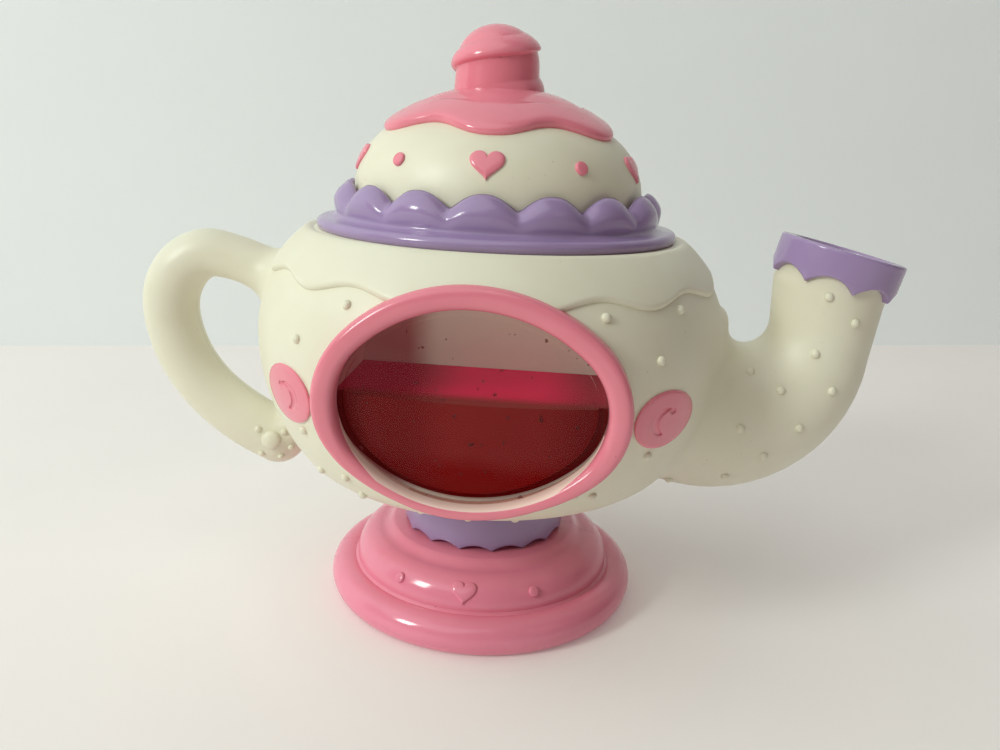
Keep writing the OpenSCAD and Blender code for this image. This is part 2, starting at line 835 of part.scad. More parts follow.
// Area of the base's half profile, drawn in by inset
module base_profile(inset) {
    intersection() {
        union() {
            translate([bead_ring_r, bead_z]) circle(r = bead_r - inset);
            translate([tier_ring_r, tier_z]) circle(r = tier_r - inset);
            translate([0, bead_z - bead_r + inset]) square([bead_ring_r, 2 * (bead_r - inset)]);
            square([tier_ring_r, base_top_z - inset]);
        }
        square([far, far]);
    }
}

// Hearts and dots round the upper tier, raised a little
module base_ornament() {
    intersection() {
        rotate_extrude() difference() {
            base_profile(-ornament_t);
            base_profile(shell_wall / 2);
        }
        for (i = [0:base_ornaments - 1]) {
            on_shoulder(i * 360 / base_ornaments, tier_ring_r, tier_z, tier_r, base_ornament_deg, tier_r / 3)
                heart(base_heart_w);
            on_shoulder((i + 0.5) * 360 / base_ornaments, tier_ring_r, tier_z, tier_r, base_ornament_deg,
                tier_r / 3) circle(r = base_dot_r, $fn = small_fn);
        }
    }
}

// Places of the screws that hold the base plate
module plate_screw_places() {
    for (sx = [-1, 1], sy = [-1, 1])
        translate([sx * plate_boss_ring_r * sin(plate_boss_deg), sy * plate_boss_ring_r * cos(plate_boss_deg), 0])
            children();
}

module base_half(side) {
    color(pink) intersection() {
        difference() {
            union() {
                difference() {
                    rotate_extrude() base_profile(0);
                    rotate_extrude() base_profile(shell_wall);
                    translate([0, 0, -over]) cylinder(r = foot_open_r, h = bead_z + over);
                }
                base_ornament();
                translate([0, 0, base_top_z - shell_wall])
                    cylinder(r = spigot_r, h = spigot_top - base_top_z + shell_wall);
                translate([0, 0, spigot_flange_z]) cylinder(r = spigot_r + spigot_flange_w, h = spigot_flange_t);
                intersection() {
                    plate_screw_places() translate([0, 0, plate_top + fit_gap / 2])
                        cylinder(r = plate_boss_r, h = base_top_z, $fn = small_fn);
                    rotate_extrude() base_profile(shell_wall / 2);
                }
            }
            translate([0, 0, base_top_z - shell_wall - over])
                cylinder(r = spigot_r - spigot_wall, h = spigot_top - base_top_z + shell_wall + 2 * over);
            plate_screw_places()
                cylinder(r = plate_screw_r + slide_gap, h = plate_z + plate_screw_head_h + plate_screw_len + over,
                    $fn = small_fn);
        }
        half_space(side);
    }
}

module base_front_half() {
    base_half(-1);
}

module base_rear_half() {
    base_half(1);
}

// Outline of the battery door, grown by grow
module door_outline(grow) {
    square([door_len + 2 * grow, door_w + 2 * grow], center = true);
    translate([door_tab_x - grow, -door_tab_w / 2 - grow]) square([-door_tab_x, door_tab_w + 2 * grow]);
}

module base_plate() {
    roof = tray_top + tray_wall;
    color(pink) difference() {
        union() {
            translate([0, 0, plate_z]) cylinder(r = plate_r, h = plate_t);
            translate([-tray_len / 2 - tray_wall, -tray_w / 2 - tray_wall, plate_z])
                cube([tray_len + 2 * tray_wall, tray_w + 2 * tray_wall, roof - plate_z]);
            translate([door_screw_x, 0, plate_z])
                cylinder(r = door_boss_r, h = door_screw_len + 2 * door_t, $fn = small_fn);
        }
        translate([-tray_len / 2, -tray_w / 2, plate_z - over])
            cube([tray_len, tray_w, tray_top - plate_z + over]);
        translate([0, 0, plate_z - over]) linear_extrude(door_t + over) door_outline(fit_gap);
        translate([door_screw_x, 0, plate_z])
            cylinder(r = door_screw_r + slide_gap, h = door_screw_len + door_t, $fn = small_fn);
        plate_screw_places() translate([0, 0, plate_z - over]) {
            cylinder(r = plate_screw_r + fit_gap, h = plate_t + 2 * over, $fn = small_fn);
            cylinder(r = plate_screw_head_r + fit_gap, h = plate_screw_head_h + over, $fn = small_fn);
        }
        translate([power_x - power_knob_w / 2 - fit_gap, -power_knob_len / 2 - fit_gap, plate_z - over])
            cube([power_knob_w + 2 * fit_gap, power_knob_len + power_travel + 2 * fit_gap, plate_t + 2 * over]);
    }
}

module lid_collar() {
    color(lavender) difference() {
        union() {
            difference() {
                union() {
                    translate([0, 0, deck_z]) cylinder(r = skirt_r, h = body_top_z - deck_z);
                    rotate_extrude() flange_profile();
                    difference() {
                        translate([0, 0, body_top_z]) cylinder(r = collar_r, h = collar_top_z - body_top_z);
                        scallop_cutters(scallops, collar_in_r, collar_r, collar_scallop_h, collar_top_z);
                    }
                }
                translate([0, 0, deck_top]) cylinder(r = collar_in_r, h = far);
            }
            translate([0, 0, bush_bottom]) cylinder(r = stem_r + bush_wall, h = bush_top - bush_bottom);
            for (sx = [-1, 1], sy = [-1, 1]) translate([sx * post_x, sy * post_y, board_top])
                cylinder(r = post_r, h = deck_z - board_top + deck_t / 2, $fn = small_fn);
        }
        translate([0, 0, bush_bottom - over]) cylinder(r = stem_r + slide_gap, h = bush_top - bush_bottom + 2 * over);
        for (sx = [-1, 1], sy = [-1, 1]) translate([sx * post_x, sy * post_y, board_top - over])
            cylinder(r = board_screw_r + slide_gap, h = board_screw_len, $fn = small_fn);
        collar_screw_places() translate([0, 0, body_top_z - over])
            cylinder(r = collar_screw_r + slide_gap, h = collar_screw_bite + over, $fn = small_fn);
    }
}

// Flange of the collar: flat below, with a round upper edge
module flange_profile() {
    intersection() {
        translate([flange_r - flange_h, body_top_z]) circle(r = flange_h);
        translate([0, body_top_z]) square([far, far]);
    }
    translate([0, body_top_z]) square([flange_r - flange_h, flange_h]);
}

// Section of the bezel across its ring: x outwards from the middle line, y to the front,
// drawn in by inset
module bezel_section(inset) {
    half = bezel_half - inset;
    intersection() {
        translate([0, bezel_front - bezel_half]) circle(r = half);
        translate([-half, bezel_seat + inset]) square([2 * half, bezel_depth]);
    }
    translate([-half, bezel_seat + inset]) square([2 * half, bezel_depth - bezel_half - inset]);
    translate([bezel_skirt_in + inset, ledge_front + fit_gap / 2 + inset])
        square([half - bezel_skirt_in - inset, bezel_seat - ledge_front]);
}

// One arc of the bezel about a centre on the window's axes
module bezel_arc(cx, cz, r, from_deg, sweep, inset) {
    translate([cx, 0, window_z + cz]) rotate([90, 0, 0]) rotate([0, 0, from_deg])
        rotate_extrude(angle = sweep) translate([r, 0]) bezel_section(inset);
}

module window_bezel() {
    end_sweep = 2 * window_join_deg;
    side_from = window_join_deg - join_lap_deg;
    side_sweep = 180 - 2 * side_from;
    color(pink) {
        bezel_arc(window_end_cx, 0, window_end_r, -window_join_deg, end_sweep, 0);
        bezel_arc(0, -window_side_cz, window_side_r, side_from, side_sweep, join_lap);
        bezel_arc(-window_end_cx, 0, window_end_r, 180 - window_join_deg, end_sweep, 0);
        bezel_arc(0, window_side_cz, window_side_r, 180 + side_from, side_sweep, join_lap);
    }
}

// Disc on the body's surface that is round when seen from the front
module medallion(side) {
    color(pink) intersection() {
        rotate_extrude() difference() {
            body_profile(-medallion_t);
            body_profile(0);
        }
        y_rod(side * medallion_x, medallion_z, -body_r - medallion_t, -body_r / 4, medallion_r);
    }
}

module left_medallion() {
    medallion(-1);
}

module right_medallion() {
    medallion(1);
}

// Ball whose front face is the lens's front, drawn in by inset
module lens_ball(inset) {
    translate([0, lens_curve_r - lens_front, window_z]) sphere(r = lens_curve_r - inset, $fn = 2 * $fn);
}

module window_lens() {
    color(white, 0.4) {
        difference() {
            intersection() {
                window_prism(-lens_in, lens_seat, far);
                lens_ball(0);
            }
            intersection() {
                window_prism(-lens_in - lens_t, lens_seat - over, far);
                lens_ball(lens_t);
            }
        }
        window_prism(lens_edge, lens_seat, bezel_seat - fit_gap / 3, -lens_in - lens_t / 2);
    }
}

module tea_pan() {
    color(white) {
        window_prism(lens_edge, ledge_front, lens_seat, -pan_side - pan_wall);
        window_prism(-pan_side, pan_back + pan_wall, lens_seat, -pan_side - pan_wall);
        window_prism(-pan_side, pan_back, pan_back + pan_wall);
    }
}

module tea_liquid() {
    color("#7d0d14") intersection() {
        union() {
            window_prism(-pan_side - pan_wall - fit_gap, pan_back + pan_wall + fit_gap, lens_seat - fit_gap);
            intersection() {
                window_prism(-lens_in - lens_t - fit_gap, pan_back + 2 * pan_wall, far);
                lens_ball(lens_t + fit_gap);
            }
        }
        translate([-far, -far, 0]) cube([2 * far, far, tea_level_z]);
    }
}

// Area of the dome's half profile, drawn in by inset
module dome_profile(inset) {
    translate([0, dome_bottom_z]) square([dome_r - inset, dome_cz - dome_bottom_z]);
    intersection() {
        translate([dome_cx, dome_cz]) circle(r = dome_curve_r - inset);
        translate([0, dome_cz]) square([far, far]);
    }
    translate([0, dome_bottom_z]) square([dome_cx, dome_top_z - inset - dome_bottom_z]);
}

module lid_dome() {
    color(cream) difference() {
        union() {
            rotate_extrude() difference() {
                dome_profile(0);
                dome_profile(dome_wall);
                translate([0, dome_bottom_z - over]) square([dome_r - dome_wall, 2 * over]);
            }
            translate([0, 0, bush_bottom]) cylinder(r = stem_r, h = dome_top_z - dome_wall / 2 - bush_bottom);
        }
        translate([0, 0, bush_bottom - over])
            cylinder(r = lid_screw_r + slide_gap, h = lid_screw_len + 2 * over, $fn = small_fn);
    }
}

// Ornament raised on the dome: every second place of the ring, from a start place
module dome_ornament(start_share) {
    color(pink) for (i = [0:dome_ornaments - 1]) intersection() {
        rotate_extrude() difference() {
            dome_profile(-dome_ornament_t);
            dome_profile(0);
        }
        on_shoulder((i + start_share) * 360 / dome_ornaments, dome_cx, dome_cz, dome_curve_r,
            dome_ornament_deg, dome_curve_r / 4) children();
    }
}

module dome_hearts() {
    dome_ornament(0) heart(dome_heart_w);
}

module dome_dots() {
    dome_ornament(0.5) circle(r = dome_dot_r, $fn = small_fn);
}

module lid_icing() {
    color(pink) difference() {
        rotate_extrude() intersection() {
            difference() {
                translate([0, icing_cz]) circle(r = icing_curve_r);
                dome_profile(0);
            }
            translate([0, dome_cz]) square([icing_r, far]);
        }
        for (i = [0:icing_lobes - 1]) rotate([0, 0, (i + 0.5) * 360 / icing_lobes])
            translate([0, -bite_x, dome_cz]) cylinder(r = bite_r, h = far);
    }
}

module lid_knob() {
    color(pink) difference() {
        translate([-knob_shift, 0, 0]) {
            translate([0, 0, dome_top_z]) cylinder(r = knob_r, h = knob_top_z - knob_cap_h - dome_top_z);
            translate([0, 0, knob_top_z - knob_cap_r]) intersection() {
                sphere(r = knob_cap_r);
                translate([0, 0, knob_cap_r - knob_cap_h]) cylinder(r = knob_r, h = 2 * knob_cap_h);
            }
            translate([0, 0, swirl_z]) rotate([0, -swirl_tilt, 0]) rotate_extrude()
                translate([knob_r - swirl_r / 3, 0]) circle(r = swirl_r, $fn = small_fn);
        }
        translate([0, 0, icing_cz]) sphere(r = icing_curve_r, $fn = 2 * $fn);
    }
}

// Helix of the return spring as one closed tube
module lid_spring() {
    low = deck_top + spring_wire_r + fit_gap / 2;
    high = dome_inner_top - spring_wire_r - fit_gap / 2;
    last = spring_turns * spring_steps;
    points = [
        for (k = [0:last], i = [0:spring_sides - 1])
            let (turn = k * 360 / spring_steps, side = i * 360 / spring_sides,
                r = spring_r + spring_wire_r * cos(side))
            [r * cos(turn), r * sin(turn), low + (high - low) * k / last + spring_wire_r * sin(side)]
    ];
    sides = [
        for (k = [0:last - 1], i = [0:spring_sides - 1])
            let (j = (i + 1) % spring_sides, a = k * spring_sides, b = a + spring_sides)
            each [[a + i, a + j, b + j], [a + i, b + j, b + i]]
    ];
    near_cap = [for (i = [spring_sides - 1:-1:0]) i];
    far_cap = [for (i = [0:spring_sides - 1]) last * spring_sides + i];
    color(steel) polyhedron(points = points, faces = concat([near_cap], sides, [far_cap]), convexity = 10);
}

module lid_washer() {
    color(steel) translate([0, 0, bush_bottom - washer_t]) difference() {
        cylinder(r = washer_r, h = washer_t);
        translate([0, 0, -over]) cylinder(r = lid_screw_r + slide_gap, h = washer_t + 2 * over, $fn = small_fn);
    }
}

module lid_screw() {
    color(steel) translate([0, 0, screw_head_z]) {
        cylinder(r = lid_screw_head_r, h = lid_screw_head_h, $fn = small_fn);
        cylinder(r = lid_screw_r, h = lid_screw_head_h + washer_t + lid_screw_len, $fn = small_fn);
    }
}

module circuit_board() {
    color(green) difference() {
        translate([-board_len / 2, -board_w / 2, board_z]) cube([board_len, board_w, board_t]);
        for (sx = [-1, 1], sy = [-1, 1]) translate([sx * post_x, sy * post_y, board_z - over])
            cylinder(r = board_screw_r + slide_gap, h = board_t + 2 * over, $fn = small_fn);
    }
}

// Chip under its drop of resin, a capacitor and the two lead connectors
module board_parts() {
    drop_r = (pow(chip_r, 2) + pow(chip_h, 2)) / (2 * chip_h);
    color(black) translate([0, 0, board_top]) {
        translate([chip_x, chip_y, 0]) intersection() {
            translate([0, 0, chip_h - drop_r]) sphere(r = drop_r);
            cylinder(r = chip_r, h = chip_h);
        }
        translate([-chip_x, can_y, 0]) cylinder(r = capacitor_r, h = capacitor_h, $fn = small_fn);
        for (side = [-1, 1])
            translate([side * speaker_lead_x - 2 * lead_r, speaker_lead_start - 4 * lead_r, 0])
                cube([4 * lead_r, 4 * lead_r, 4 * lead_r]);
    }
}

module switch_body() {
    color(black) difference() {
        translate([-switch_side / 2, -switch_side / 2, board_top]) cube([switch_side, switch_side, switch_h]);
        translate([0, 0, board_top + switch_floor]) cylinder(r = plunger_r + slide_gap, h = switch_h, $fn = small_fn);
    }
}

module switch_plunger() {
    color(white) translate([0, 0, screw_head_z - plunger_len])
        cylinder(r = plunger_r, h = plunger_len, $fn = small_fn);
}

module tilt_can() {
    color(steel) translate([can_x, can_y, board_top + can_r]) rotate([0, 90, 0]) difference() {
        translate([0, 0, -can_end]) cylinder(r = can_r, h = can_bore_len + 2 * can_end, $fn = small_fn);
        cylinder(r = can_bore_r, h = can_bore_len, $fn = small_fn);
    }
}

module tilt_ball() {
    color(brass) translate([can_x + ball_r + fit_gap, can_y, board_top + can_r]) sphere(r = ball_r, $fn = small_fn);
}

// Speaker profile along its axis, which points to the rear
module speaker() {
    back = speaker_front - speaker_rim_t;
    color(black) translate([0, speaker_front, speaker_z]) rotate([90, 0, 0]) rotate_extrude() polygon([
        [0, cone_recess], [cone_r + fit_gap, cone_recess], [cone_r + fit_gap, 0], [speaker_r, 0],
        [speaker_r, speaker_rim_t], [speaker_magnet_r, speaker_rim_t + speaker_cone_h],
        [speaker_magnet_r, speaker_rim_t + speaker_cone_h + speaker_magnet_h],
        [0, speaker_front - back + speaker_cone_h + speaker_magnet_h]
    ]);
}

module speaker_cone() {
    color(white) y_rod(0, speaker_z, speaker_front - cone_recess + fit_gap / 2,
        speaker_front - cone_recess + fit_gap / 2 + cone_t, cone_r);
}

module power_switch_body() {
    color(black) difference() {
        translate([power_x - power_w / 2, power_travel / 2 - power_len / 2, plate_top])
            cube([power_w, power_len, power_h]);
        translate([power_x - power_knob_w / 2 - fit_gap, -power_knob_len / 2 - fit_gap, plate_top - over])
            cube([power_knob_w + 2 * fit_gap, power_knob_len + power_travel + 2 * fit_gap,
                power_knob_top - plate_top + fit_gap + over]);
    }
}

module power_switch_knob() {
    color(black) translate([power_x - power_knob_w / 2, -power_knob_len / 2, power_knob_z])
        cube([power_knob_w, power_knob_len, power_knob_top - power_knob_z]);
}

// Places of the cells: their middles across the tray
module cell_places() {
    for (i = [0:cells - 1]) translate([0, (i - (cells - 1) / 2) * cell_pitch, cell_z])
        rotate([0, 0, i % 2 * 180]) children();
}

module aa_cells() {
    color(copper) cell_places() rotate([0, 90, 0]) {
        translate([0, 0, -cell_len / 2]) cylinder(r = cell_d / 2, h = cell_len);
        translate([0, 0, cell_len / 2]) cylinder(r = nub_r, h = nub_h, $fn = small_fn);
    }
}

// A plate behind each nub and a coned spring behind each flat end
module cell_contacts() {
    reach = tray_len / 2 - contact_t;
    color(steel) cell_places() {
        for (side = [-1, 1]) translate([side * (reach + contact_t / 2), 0, 0])
            cube([contact_t, contact_w, contact_w], center = true);
        translate([-reach, 0, 0]) rotate([0, 90, 0])
            cylinder(r1 = contact_spring_r, r2 = contact_spring_tip_r, h = reach - cell_len / 2 - fit_gap);
    }
}

module lead_wires() {
    roof = tray_top + tray_wall;
    color("#c02a2a") {
        for (side = [-1, 1]) translate([side * battery_lead_x, battery_lead_y, roof])
            cylinder(r = lead_r, h = board_z - roof, $fn = small_fn);
        for (side = [-1, 1])
            y_rod(side * speaker_lead_x, board_top + 2 * lead_r, speaker_lead_start,
                speaker_front - speaker_rim_t - speaker_lead_share * speaker_cone_h, lead_r);
    }
}

module battery_door() {
    color(pink) translate([0, 0, plate_z]) difference() {
        linear_extrude(door_t) door_outline(0);
        translate([door_screw_x, 0, -over]) {
            cylinder(r = door_screw_r + slide_gap, h = door_t + 2 * over, $fn = small_fn);
            cylinder(r = door_screw_head_r + slide_gap, h = door_screw_head_h + over, $fn = small_fn);
        }
    }
}

module battery_door_screw() {
    color(steel) translate([door_screw_x, 0, plate_z]) {
        cylinder(r = door_screw_head_r, h = door_screw_head_h, $fn = small_fn);
        cylinder(r = door_screw_r, h = door_t + door_screw_len - over, $fn = small_fn);
    }
}

module body_screws() {
    color(steel) for (p = shell_bosses) {
        y_rod(p[0], p[1], shell_screw_seat, shell_screw_seat + shell_screw_head_h, shell_screw_head_r);
        y_rod(p[0], p[1], shell_screw_seat - shell_screw_len, shell_screw_seat + over, shell_screw_r);
    }
}

module base_screws() {
    color(steel) plate_screw_places() translate([0, 0, plate_z]) {
        cylinder(r = plate_screw_head_r, h = plate_screw_head_h, $fn = small_fn);
        cylinder(r = plate_screw_r, h = plate_screw_head_h + plate_screw_len, $fn = small_fn);
    }
}

module collar_screws() {
    seat = body_top_z - shell_wall;
    color(steel) collar_screw_places() translate([0, 0, seat]) {
        translate([0, 0, -collar_screw_head_h])
            cylinder(r = collar_screw_head_r, h = collar_screw_head_h, $fn = small_fn);
        cylinder(r = collar_screw_r, h = shell_wall + collar_screw_bite, $fn = small_fn);
    }
}

module board_screws() {
    color(steel) for (sx = [-1, 1], sy = [-1, 1]) translate([sx * post_x, sy * post_y, board_z]) {
        translate([0, 0, -board_screw_head_h])
            cylinder(r = board_screw_head_r, h = board_screw_head_h, $fn = small_fn);
        cylinder(r = board_screw_r, h = board_t + board_screw_len - 2 * over, $fn = small_fn);
    }
}

body_front_shell();
body_rear_shell();
spout_rim();
neck_ring();
base_front_half();
base_rear_half();
base_plate();
lid_collar();
window_bezel();
left_medallion();
right_medallion();
window_lens();
tea_pan();
tea_liquid();
lid_dome();
dome_hearts();
dome_dots();
lid_icing();
lid_knob();
lid_spring();
lid_washer();
lid_screw();
circuit_board();
board_parts();
switch_body();
switch_plunger();
tilt_can();
tilt_ball();
speaker();
speaker_cone();
power_switch_body();
power_switch_knob();
aa_cells();
cell_contacts();
lead_wires();
battery_door();
battery_door_screw();
body_screws();
base_screws();
collar_screws();
board_screws();
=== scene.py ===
"""Dresses the toy teapot: moulded shells, window, lid, pedestal, workings and studio.

Shapes are worked out in millimetres in the CAD frame, where the origin is the centre of the
foot, +Z is up, +X points to the spout and -Y to the window, and go out in metres.
"""

import logging
import math
from dataclasses import dataclass
from enum import Enum
from typing import Callable, Iterable, Sequence

import bmesh
import bpy
import numpy as np
from mathutils import Matrix, Vector


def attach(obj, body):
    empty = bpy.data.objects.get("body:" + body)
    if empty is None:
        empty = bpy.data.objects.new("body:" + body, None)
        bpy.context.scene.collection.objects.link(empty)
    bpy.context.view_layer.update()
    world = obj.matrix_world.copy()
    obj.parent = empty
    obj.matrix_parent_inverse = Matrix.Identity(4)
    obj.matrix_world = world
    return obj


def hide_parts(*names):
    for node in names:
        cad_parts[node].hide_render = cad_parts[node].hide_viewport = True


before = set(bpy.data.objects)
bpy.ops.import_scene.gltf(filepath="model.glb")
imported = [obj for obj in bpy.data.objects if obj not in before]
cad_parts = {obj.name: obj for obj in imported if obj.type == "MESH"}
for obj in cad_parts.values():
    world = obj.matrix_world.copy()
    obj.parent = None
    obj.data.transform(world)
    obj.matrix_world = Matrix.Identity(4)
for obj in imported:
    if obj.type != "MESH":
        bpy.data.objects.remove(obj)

LOG = logging.getLogger("teapot")
MM = 0.001
UP = (0, 0, 1)
Point2 = tuple[float, float]
Mesh = bmesh.types.BMesh
Socket = bpy.types.NodeSocket
Tone = str | tuple | Socket


class Body(Enum):
    """Bodies that the pieces made here ride on."""

    POT = "pot"
    LID = "lid"


class Slot(Enum):
    """Material slots of the pieces made here."""

    CREAM = "cream_plastic"
    PINK = "pink_plastic"
    LAVENDER = "lavender_plastic"


def linear(colour: str) -> tuple[float, float, float, float]:
    """Turns an sRGB hex colour to linear RGBA.

    Args:
        colour: six hex digits after a hash.

    Returns:
        Linear red, green, blue and an alpha of one.
    """
    parts = [int(colour[i:i + 2], 16) / 255 for i in (1, 3, 5)]
    red, green, blue = (c / 12.92 if c <= 0.04045 else ((c + 0.055) / 1.055) ** 2.4 for c in parts)
    return red, green, blue, 1.0


def add_node(tree: bpy.types.NodeTree, kind: str, settings: dict | None = None,
             inputs: dict | None = None) -> bpy.types.Node:
    """Adds a node, sets its properties, and sets or links its inputs.

    Args:
        tree: the material's node tree.
        kind: the node's type name.
        settings: properties by name.
        inputs: socket values, or sockets to link from, by input name or index.

    Returns:
        The new node.
    """
    node = tree.nodes.new(kind)
    for key, value in (settings or {}).items():
        setattr(node, key, value)
    for key, value in (inputs or {}).items():
        if isinstance(value, Socket):
            tree.links.new(value, node.inputs[key])
        else:
            node.inputs[key].default_value = value
    return node


@dataclass
class Graph:
    """A material's nodes, with short ways to add those that the finishes share."""

    tree: bpy.types.NodeTree

    def __post_init__(self) -> None:
        """Adds the object coordinates that every pattern reads."""
        self.place = add_node(self.tree, "ShaderNodeTexCoord").outputs["Object"]

    def axes(self, vector: Socket) -> Sequence[Socket]:
        """X, Y and Z of a vector."""
        return add_node(self.tree, "ShaderNodeSeparateXYZ", None, {0: vector}).outputs

    def geometry(self, output: str) -> Socket:
        """A fact about the face, such as its normal."""
        return add_node(self.tree, "ShaderNodeNewGeometry").outputs[output]

    def noise(self, size_mm: float, detail: float, rough: float = 0.5,
              at: Socket | None = None) -> Socket:
        """Cloudy pattern with features of about that size."""
        where = self.place if at is None else at
        return add_node(self.tree, "ShaderNodeTexNoise", None,
                        {"Vector": where, "Scale": 1 / (size_mm * MM), "Detail": detail,
                         "Roughness": rough}).outputs["Fac"]

    def spread(self, value: Socket, low: float, high: float, to: Point2 = (0.0, 1.0),
               soft: bool = False) -> Socket:
        """Stretches a range of values onto another, with soft ends where asked."""
        kind = {"interpolation_type": "SMOOTHSTEP"} if soft else None
        return add_node(self.tree, "ShaderNodeMapRange", kind,
                        {"Value": value, "From Min": low, "From Max": high,
                         "To Min": to[0], "To Max": to[1]}).outputs["Result"]

    def blend(self, share: Socket, first: Tone, second: Tone) -> Socket:
        """Mixes two colours, each a hex or linear colour or another node's colour."""
        first, second = (linear(c) if isinstance(c, str) else c for c in (first, second))
        return add_node(self.tree, "ShaderNodeMix", {"data_type": "RGBA"},
                        {0: share, 6: first, 7: second}).outputs[2]

    def calc(self, operation: str, *values: float | Socket, clamp: bool = False) -> Socket:
        """Works out a sum from numbers and sockets."""
        return add_node(self.tree, "ShaderNodeMath", {"operation": operation, "use_clamp": clamp},
                        dict(enumerate(values))).outputs["Value"]

    def bump(self, height: Socket, strength: float, depth_mm: float,
             over: Socket | None = None) -> Socket:
        """Relief of that depth, over other relief where it is given."""
        inputs = {"Height": height, "Strength": strength, "Distance": depth_mm * MM}
        if over is not None:
            inputs["Normal"] = over
        return add_node(self.tree, "ShaderNodeBump", None, inputs).outputs["Normal"]

    def shader(self, kind: str, inputs: dict | None = None) -> Socket:
        """A surface of that kind, such as Principled or Glossy."""
        return add_node(self.tree, f"ShaderNodeBsdf{kind}", None, inputs).outputs["BSDF"]

    def layer(self, share: Socket, first: Socket, second: Socket) -> Socket:
        """Mixes two surfaces."""
        return add_node(self.tree, "ShaderNodeMixShader", None,
                        {0: share, 1: first, 2: second}).outputs["Shader"]

    def show(self, surface: Socket) -> None:
        """Makes a surface the material's own."""
        add_node(self.tree, "ShaderNodeOutputMaterial", None, {"Surface": surface})


@dataclass(frozen=True)
class Finish:
    """A real material, drawn once as nodes and then shared by its name."""

    name: str

    def material(self) -> bpy.types.Material:
        """The material, drawn the first time that it is asked for."""
        made = bpy.data.materials.get(self.name)
        if made is None:
            made = bpy.data.materials.new(self.name)
            made.use_nodes = True
            made.node_tree.nodes.clear()
            self.draw(Graph(made.node_tree))
        return made

    def draw(self, graph: Graph) -> None:
        """Draws the nodes; each kind of material has its own."""
        raise NotImplementedError


@dataclass(frozen=True)
class MouldedPlastic(Finish):
    """Glossy injection-moulded plastic, a little uneven in colour from years of handling."""

    colour: str
    drift: str
    roughness: float = 0.24
    drift_mm: float = 38.0
    grain_mm: float = 0.7
    grain_depth: float = 0.06
    wave_mm: float = 14.0
    wave_depth: float = 0.10
    speck: str = "#8d7a68"
    speck_mm: float = 1.6
    speck_share: float = 0.02
    speck_strength: float = 0.55
    speck_level: float = 0.74
    speck_soft: float = 0.05

    def draw(self, graph: Graph) -> None:
        """Draws slow colour drift, sparse specks of grime, and soft moulding waves."""
        drift = graph.noise(self.drift_mm, 4.0, 0.55)
        toned = graph.blend(graph.spread(drift, 0.35, 0.75), self.colour, self.drift)
        edge = self.speck_level - self.speck_share
        spots = graph.spread(graph.noise(self.speck_mm, 3.0, 0.6), edge, edge + self.speck_soft,
                             (0.0, self.speck_strength), True)
        worn = graph.blend(spots, toned, self.speck)
        gloss = graph.spread(drift, 0.3, 0.75, (self.roughness - 0.05, self.roughness + 0.07))
        sink = graph.bump(graph.noise(self.wave_mm, 1.0), self.wave_depth, 0.6)
        skin = graph.bump(graph.noise(self.grain_mm, 2.0), self.grain_depth, 0.05, sink)
        graph.show(graph.shader("Principled", {"Base Color": worn, "Roughness": gloss, "IOR": 1.52,
                                               "Normal": skin}))


@dataclass(frozen=True)
class ClearPlastic(Finish):
    """Clear moulded styrene: hard gloss, with fine scratches and dried splashes on its inside."""

    name: str = "clear_styrene_moulded"
    tint: str = "#f3e9e6"
    roughness: float = 0.04
    scratch_mm: float = 9.0
    drop_mm: float = 2.4
    drop: str = "#6a3034"
    drop_strength: float = 0.7
    drop_edge: Point2 = (0.72, 0.75)
    slant_power: float = 4.0
    slant_gloss: float = 0.5
    least_gloss: float = 0.004

    def draw(self, graph: Graph) -> None:
        """Draws a clear gloss that lets light pass into the tub, scuffed here and there."""
        haze = graph.spread(graph.noise(self.scratch_mm, 8.0, 0.7), 0.5, 0.8,
                            (self.roughness, self.roughness + 0.1))
        gloss = graph.shader("Glossy", {"Color": (1, 1, 1, 1), "Roughness": haze})
        clear = graph.shader("Transparent", {"Color": linear(self.tint)})
        facing = add_node(graph.tree, "ShaderNodeLayerWeight", None, {"Blend": 0.5})
        slant = graph.calc("POWER", facing.outputs["Facing"], self.slant_power)
        share = graph.calc("MULTIPLY_ADD", slant, self.slant_gloss, self.least_gloss)
        dried = graph.spread(graph.noise(self.drop_mm, 2.0, 0.4), *self.drop_edge,
                             (0.0, self.drop_strength), True)
        mark = graph.shader("Diffuse", {"Color": linear(self.drop)})
        graph.show(graph.layer(dried, graph.layer(share, clear, gloss), mark))


